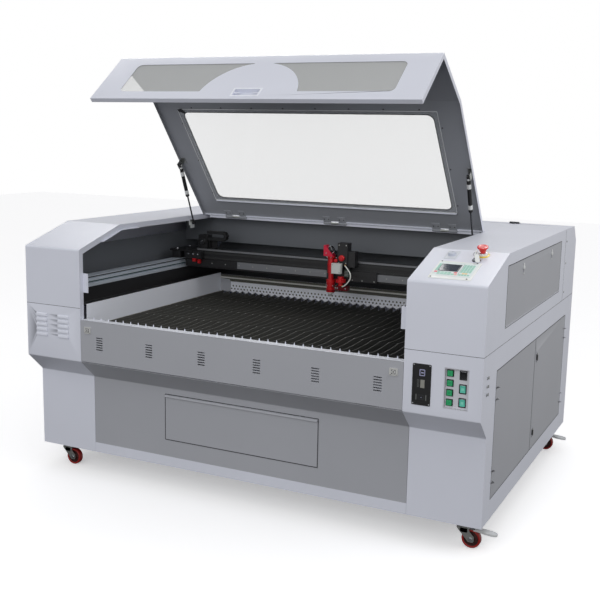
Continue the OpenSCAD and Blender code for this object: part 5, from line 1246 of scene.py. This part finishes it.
# %% [markdown]
# ## The tube bay and the electrics
# Behind the bed a long glass tube makes the beam: an outer jacket for cooling
# water, an inner bore, and a metal cap at each end. Its saddles are
# moulded halves. It is only seen when the rear cover stands open, but it is
# made all the same, because a part is looked at from every side.

# %% Laser tube, saddles and supply
LASER_Y, LASER_Z = 1492, 940
glass = Form(shift(-800, LASER_Y, LASER_Z) @ turn(90, "Y"))
glass.ring([(37.4, 60), (39, 60), (40, 62), (40, 1538), (39, 1540), (37.4, 1540)], n=48)
glass.ring([(9, 24), (10.5, 24), (10.5, 1576), (9, 1576)], n=24)
glass.ring([(22, 20), (24, 20), (24, 60), (40, 62), (40, 60), (25, 57), (25, 20)], n=48)
glass.ring([(22, 1580), (24, 1580), (24, 1540), (40, 1538), (40, 1540), (25, 1543), (25, 1580)],
           n=48)
for z in (0, 1560):
    glass.ring([(13, z), (16, z + 0.5), (16, z + 10), (22.5, z + 11), (22.5, z + 19),
                (21.5, z + 20), (13, z + 20)], mat=1)
glass.tube([(6, 0, 90), (22, 8, 200), (22, -8, 420), (22, 8, 640), (22, -8, 860), (22, 8, 1080),
            (22, -8, 1300), (6, 0, 1500)], 2.4, n=8)
piece("glass_laser_tube", glass, "machine", [GLASS, ZINC], "tube_glass", ["laser_tube"])
softened("tube_supports", CAST, width=1.0)
softened("power_supply", ZINC, width=0.4)
saddle = [(x + d, 1436, 803) for x in (-533, 533) for d in (-22, 22)]
screws("saddle_bolts", "machine", STEEL, 4, 3, saddle, UP)
print("laser tube of 1580 mm")

# %% [markdown]
# ## Latches, locks, knobs and hooks
# Small bought-in hardware makes a cabinet believable: cam latches with a
# keyway on the flap, swing handles on the doors, turned knobs on the hatch,
# and bent-wire hooks. Each covers the plain shape in the solid model and rides
# the panel that it is screwed to.

# %% Cam latches on the flap
LATCH = finish("satin nickel", (206, 207, 206), 0.35, metal=0.3)
latch = Form()
for x in (-711, 711):
    at = on_front(x, 695)
    latch.slab(34, 30, 3.4, 3, place=at)
    latch.slab(17, 17, 0.6, 2, mat=1, place=at @ shift(0, 0, 3.3))
    latch.stud(8, 3, 5.2, place=at, n=36)
    latch.slab(3, 10, 0.4, 1.4, mat=2, place=at @ shift(0, 0, 5.1))
    for dx in (-12, 12):
        latch.lathe([(0, 3.3), (1.8, 3.3), (1.4, 4.2), (0, 4.3)], mat=2,
                    place=at @ shift(dx, -11, 0), n=12)
piece("cam_latches", latch, "flap", [LATCH, DARK_SCREW, PLASTIC], "steel", bevel=0.3)
print("two latches")

# %% Door handles, hatch knobs and side hooks
LOCK = finish("black lacquered casting", (26, 27, 29), 0.35)
PALE_HOOK = finish("pale lacquered latch", (222, 224, 224), 0.35)
lock = Form()
for z in (613, 270):
    at = on_side(884, z)
    lock.slab(19, 38, 3.4, 9.4, place=at @ shift(0, -1, 0))
    lock.slab(12, 26, 2.2, 5, place=at @ shift(0, -4, 3.2))
    lock.stud(5, 3, 5.6, mat=1, place=at @ shift(0, 11, 0), n=28)
piece("door_handles", lock, "door_rear", [LOCK, ZINC], "black_plastic", bevel=0.4)
hook = [(0.8 * a, 0.8 * b)
        for a, b in ((-7, 12), (7, 12), (10, 4), (5, -8), (8, -22), (11, -36), (4, -46),
                     (-7, -44), (-9, -36), (-3, -34), (-3, -22), (-6, -8), (-9, 4))]
knob = Form()
for y in (528.25, 1062.16):
    knob.lathe([(0, 0), (9.4, 0), (9.4, 3), (8.2, 4.6), (3, 5.2), (0, 5.2)],
               place=shift(SIDE_X, y, 1051) @ turn(90, "Y"), n=36)
    knob.prism(hook, 2.6, place=on_side(y, 1060, SIDE_X + 0.2))
piece("hatch_knobs", knob, "hatch", PALE_HOOK, "steel", bevel=0.4)
hooks = Form()
for z in (701, 669, 638):
    hooks.tube([(1049, 60, z), (1052, 60, z), (1054.6, 60, z + 0.6), (1055.4, 60, z + 3.4),
                (1055.2, 60, z + 8.6)], 1.7, n=10)
    hooks.lathe([(0, 0), (5.4, 0), (5.4, 0.8), (4.4, 1.6), (0, 1.6)],
                place=shift(SIDE_X, 60, z) @ turn(90, "Y"), n=24)
piece("side_hooks", hooks, "machine", ZINC, "steel")
print("two handles, two knobs and three hooks")

# %% Cover hinges and exhaust collars
COVER_PIN, REAR_FACE = 1525, 1643
HINGE = finish("dark hinge steel", (62, 64, 68), 0.4, metal=0.6)
for body, leaf_end, spans in (("machine", COVER_PIN - 27, [(-7.2, 7.2)]),
                              ("cover", COVER_PIN + 27, [(-23.9, -8.0), (8.0, 23.9)])):
    skin = Form()
    near, far = sorted((COVER_PIN, leaf_end))
    for x in (-763, 763):
        for a, b in spans:
            skin.rod((x + a, COVER_PIN, 1137), (x + b, COVER_PIN, 1137), 5.5, edge=0.5)
            skin.box((x + a, near, 1133), (x + b, far, 1136.6))
    piece("cover_hinge_leaves_" + body, skin, body, HINGE, "paint", bevel=0.5)
bead = Form()
for x in (-380, 380):
    at = shift(x, REAR_FACE, 448) @ turn(-90, "X")
    bead.ring([(73, 0), (82, 0), (82, 2), (77, 3), (75.4, 5), (75.4, 6), (73, 6)], place=at, n=72)
    bead.ring([(73, 46), (75.4, 46), (76.2, 47), (76.2, 49), (75.4, 50), (73, 50)], place=at, n=72)
piece("exhaust_beads", bead, "machine", PAINT, "paint")
rear_screws = [(x, REAR_FACE, z) for z in (130, 448, 766) for x in (-1020, -700, 700, 1020)]
rear_screws += [(x, REAR_FACE, 766) for x in (-350, 0, 350)]
screws("rear_sheet_screws", "machine", ZINC, 4.5, 2.4, rear_screws, (0, 1, 0))
bay_screws = [(s * SIDE_X, 1404, z) for s in (-1, 1) for z in (828, 968, 1073)]
outward = [(x / SIDE_X, 0, 0) for x, y, z in bay_screws]
screws("bay_screws", "machine", ZINC, 5, 2.4, bay_screws, outward)

# %% [markdown]
# ## Floor, light and camera
# A pale floor meets a bright room, so that the machine stands as it would in a
# studio. Broad lights leave soft edges on their shadows. The camera stands in
# front and to the right, a little above the table, with a longish lens.

# %% The floor
FLOOR_REACH = 14.0
floor_mesh = bpy.data.meshes.new("floor")
quarters = ((-1, -1), (1, -1), (1, 1), (-1, 1))
floor_mesh.from_pydata([(a * FLOOR_REACH, b * FLOOR_REACH, 0) for a, b in quarters], [],
                       [(0, 1, 2, 3)])
floor_mesh.materials.append(plastic("pale floor", (250, 250, 251), 0.7, vary=0.01, glow=0.4))
floor = bpy.data.objects.new("floor", floor_mesh)
scene.collection.objects.link(floor)
# The floor takes shadows, but it neither lights the machine nor shows in its gloss.
floor.visible_diffuse = False
floor.visible_glossy = False
print("floor", 2 * FLOOR_REACH, "m across")

# %% The bright room
world = bpy.data.worlds.new("bright room")
scene.world = world
world.use_nodes = True
wn, wl = world.node_tree.nodes, world.node_tree.links


def maths(operation, *values):
    made = wn.new("ShaderNodeMath")
    made.operation = operation
    for i, v in enumerate(values):
        if isinstance(v, (int, float)):
            made.inputs[i].default_value = v
        else:
            wl.new(v, made.inputs[i])
    return made.outputs[0]


# The room is brighter in front, behind, overhead and to the right, and dark below.
way = wn.new("ShaderNodeSeparateXYZ")
wl.new(wn.new("ShaderNodeTexCoord").outputs["Generated"], way.inputs["Vector"])
x, y, z = (way.outputs[k] for k in "XYZ")
sky = maths("ADD", 0.2, maths("MULTIPLY", maths("ABSOLUTE", y), 0.5))
sky = maths("ADD", sky, maths("MULTIPLY", maths("MAXIMUM", z, 0.0), 0.27))
sky = maths("ADD", sky, maths("MULTIPLY", maths("MINIMUM", z, 0.0), 1.2))
sky = maths("MAXIMUM", maths("ADD", sky, maths("MULTIPLY", x, 0.2)), 0.03)
room, backdrop = wn["Background"], wn.new("ShaderNodeBackground")
for shade in (room, backdrop):
    shade.inputs["Color"].default_value = (1, 1, 1, 1)
wl.new(sky, room.inputs["Strength"])
seen = wn.new("ShaderNodeMixShader")
wl.new(wn.new("ShaderNodeLightPath").outputs["Is Camera Ray"], seen.inputs["Fac"])
wl.new(room.outputs["Background"], seen.inputs[1])
wl.new(backdrop.outputs["Background"], seen.inputs[2])
wl.new(seen.outputs["Shader"], wn["World Output"].inputs["Surface"])
scene.view_settings.view_transform = "Standard"
print("room of", len(wn), "nodes")


# %% Lights and camera
def lamp(name, place, aim, size, watts):
    data = bpy.data.lights.new(name, "AREA")
    data.shape = "RECTANGLE"
    data.size, data.size_y = size
    data.energy = watts
    obj = bpy.data.objects.new(name, data)
    scene.collection.objects.link(obj)
    obj.location = place
    obj.rotation_mode = "QUATERNION"
    obj.rotation_quaternion = (Vector(aim) - Vector(place)).to_track_quat("-Z", "Y")
    return obj


lamp("front softbox", (0.6, -4.6, 2.4), (0, 0, 0.8), (2.4, 1.6), 40)
lamp("side softbox", (-3.6, -2.6, 2.4), (0, 0, 0.8), (2.0, 2.0), 12)
lamp("right softbox", (4.0, -0.4, 3.0), (-0.2, 0.3, 0.7), (2.0, 2.0), 30)
for gloss in (lamp("rear gleam", (-2.3, 2.5, 4.1), (0, -0.6, 1.1), (3.6, 1.2), 100),
              lamp("top gleam", (0.95, 1.0, 3.6), (0.9, -0.7, 1.1), (1.2, 1.0), 60)):
    gloss.visible_diffuse = False

cam_data = bpy.data.cameras.new("camera")
cam_data.sensor_width = 36
cam_data.lens = 57.14
camera = bpy.data.objects.new("camera", cam_data)
scene.collection.objects.link(camera)
scene.camera = camera
yaw, pitch, roll = radians(-26.07), radians(-10.04), radians(1.14)
ahead = Vector((sin(yaw) * cos(pitch), cos(yaw) * cos(pitch), sin(pitch)))
level = Vector((cos(yaw), -sin(yaw), 0))
over = level.cross(ahead)
across = level * cos(roll) + over * sin(roll)
upward = over * cos(roll) - level * sin(roll)
eye = HOME @ Vector((1905.8, -3245.9, 1567.9))
ways = Matrix((across, upward, -ahead)).transposed().to_4x4()
camera.matrix_world = Matrix.Translation(eye) @ ways
print(len(bpy.data.lights), "lights and a lens of", cam_data.lens, "mm")

# %% [markdown]
# ## What is left, and the end
# Solids that nothing above stands for keep their shape and get the finish of their slot. Dressing
# must not make the machine larger.

# %% Remaining solids
BY_SLOT = {"paint": PAINT, "grey_paint": GREY, "dark_paint": DARK, "black_metal": BLACK,
           "aluminium": ALU, "steel": STEEL, "red_metal": RED_METAL, "red_plastic": RED,
           "pale_plastic": WHITE, "black_plastic": PLASTIC, "green_plastic": GREEN,
           "teal_plastic": TEAL, "clear_pane": CLEAR, "smoked_pane": HAZY, "tube_glass": GLASS,
           "red_wheel": WHEEL}
plain = []
for name, obj in frame["nodes"].items():
    if obj.hide_render:
        continue
    plain.append(name)
    obj.data.materials.clear()
    obj.data.materials.append(BY_SLOT[SLOT_OF[name]])
print("plain solids:", plain)
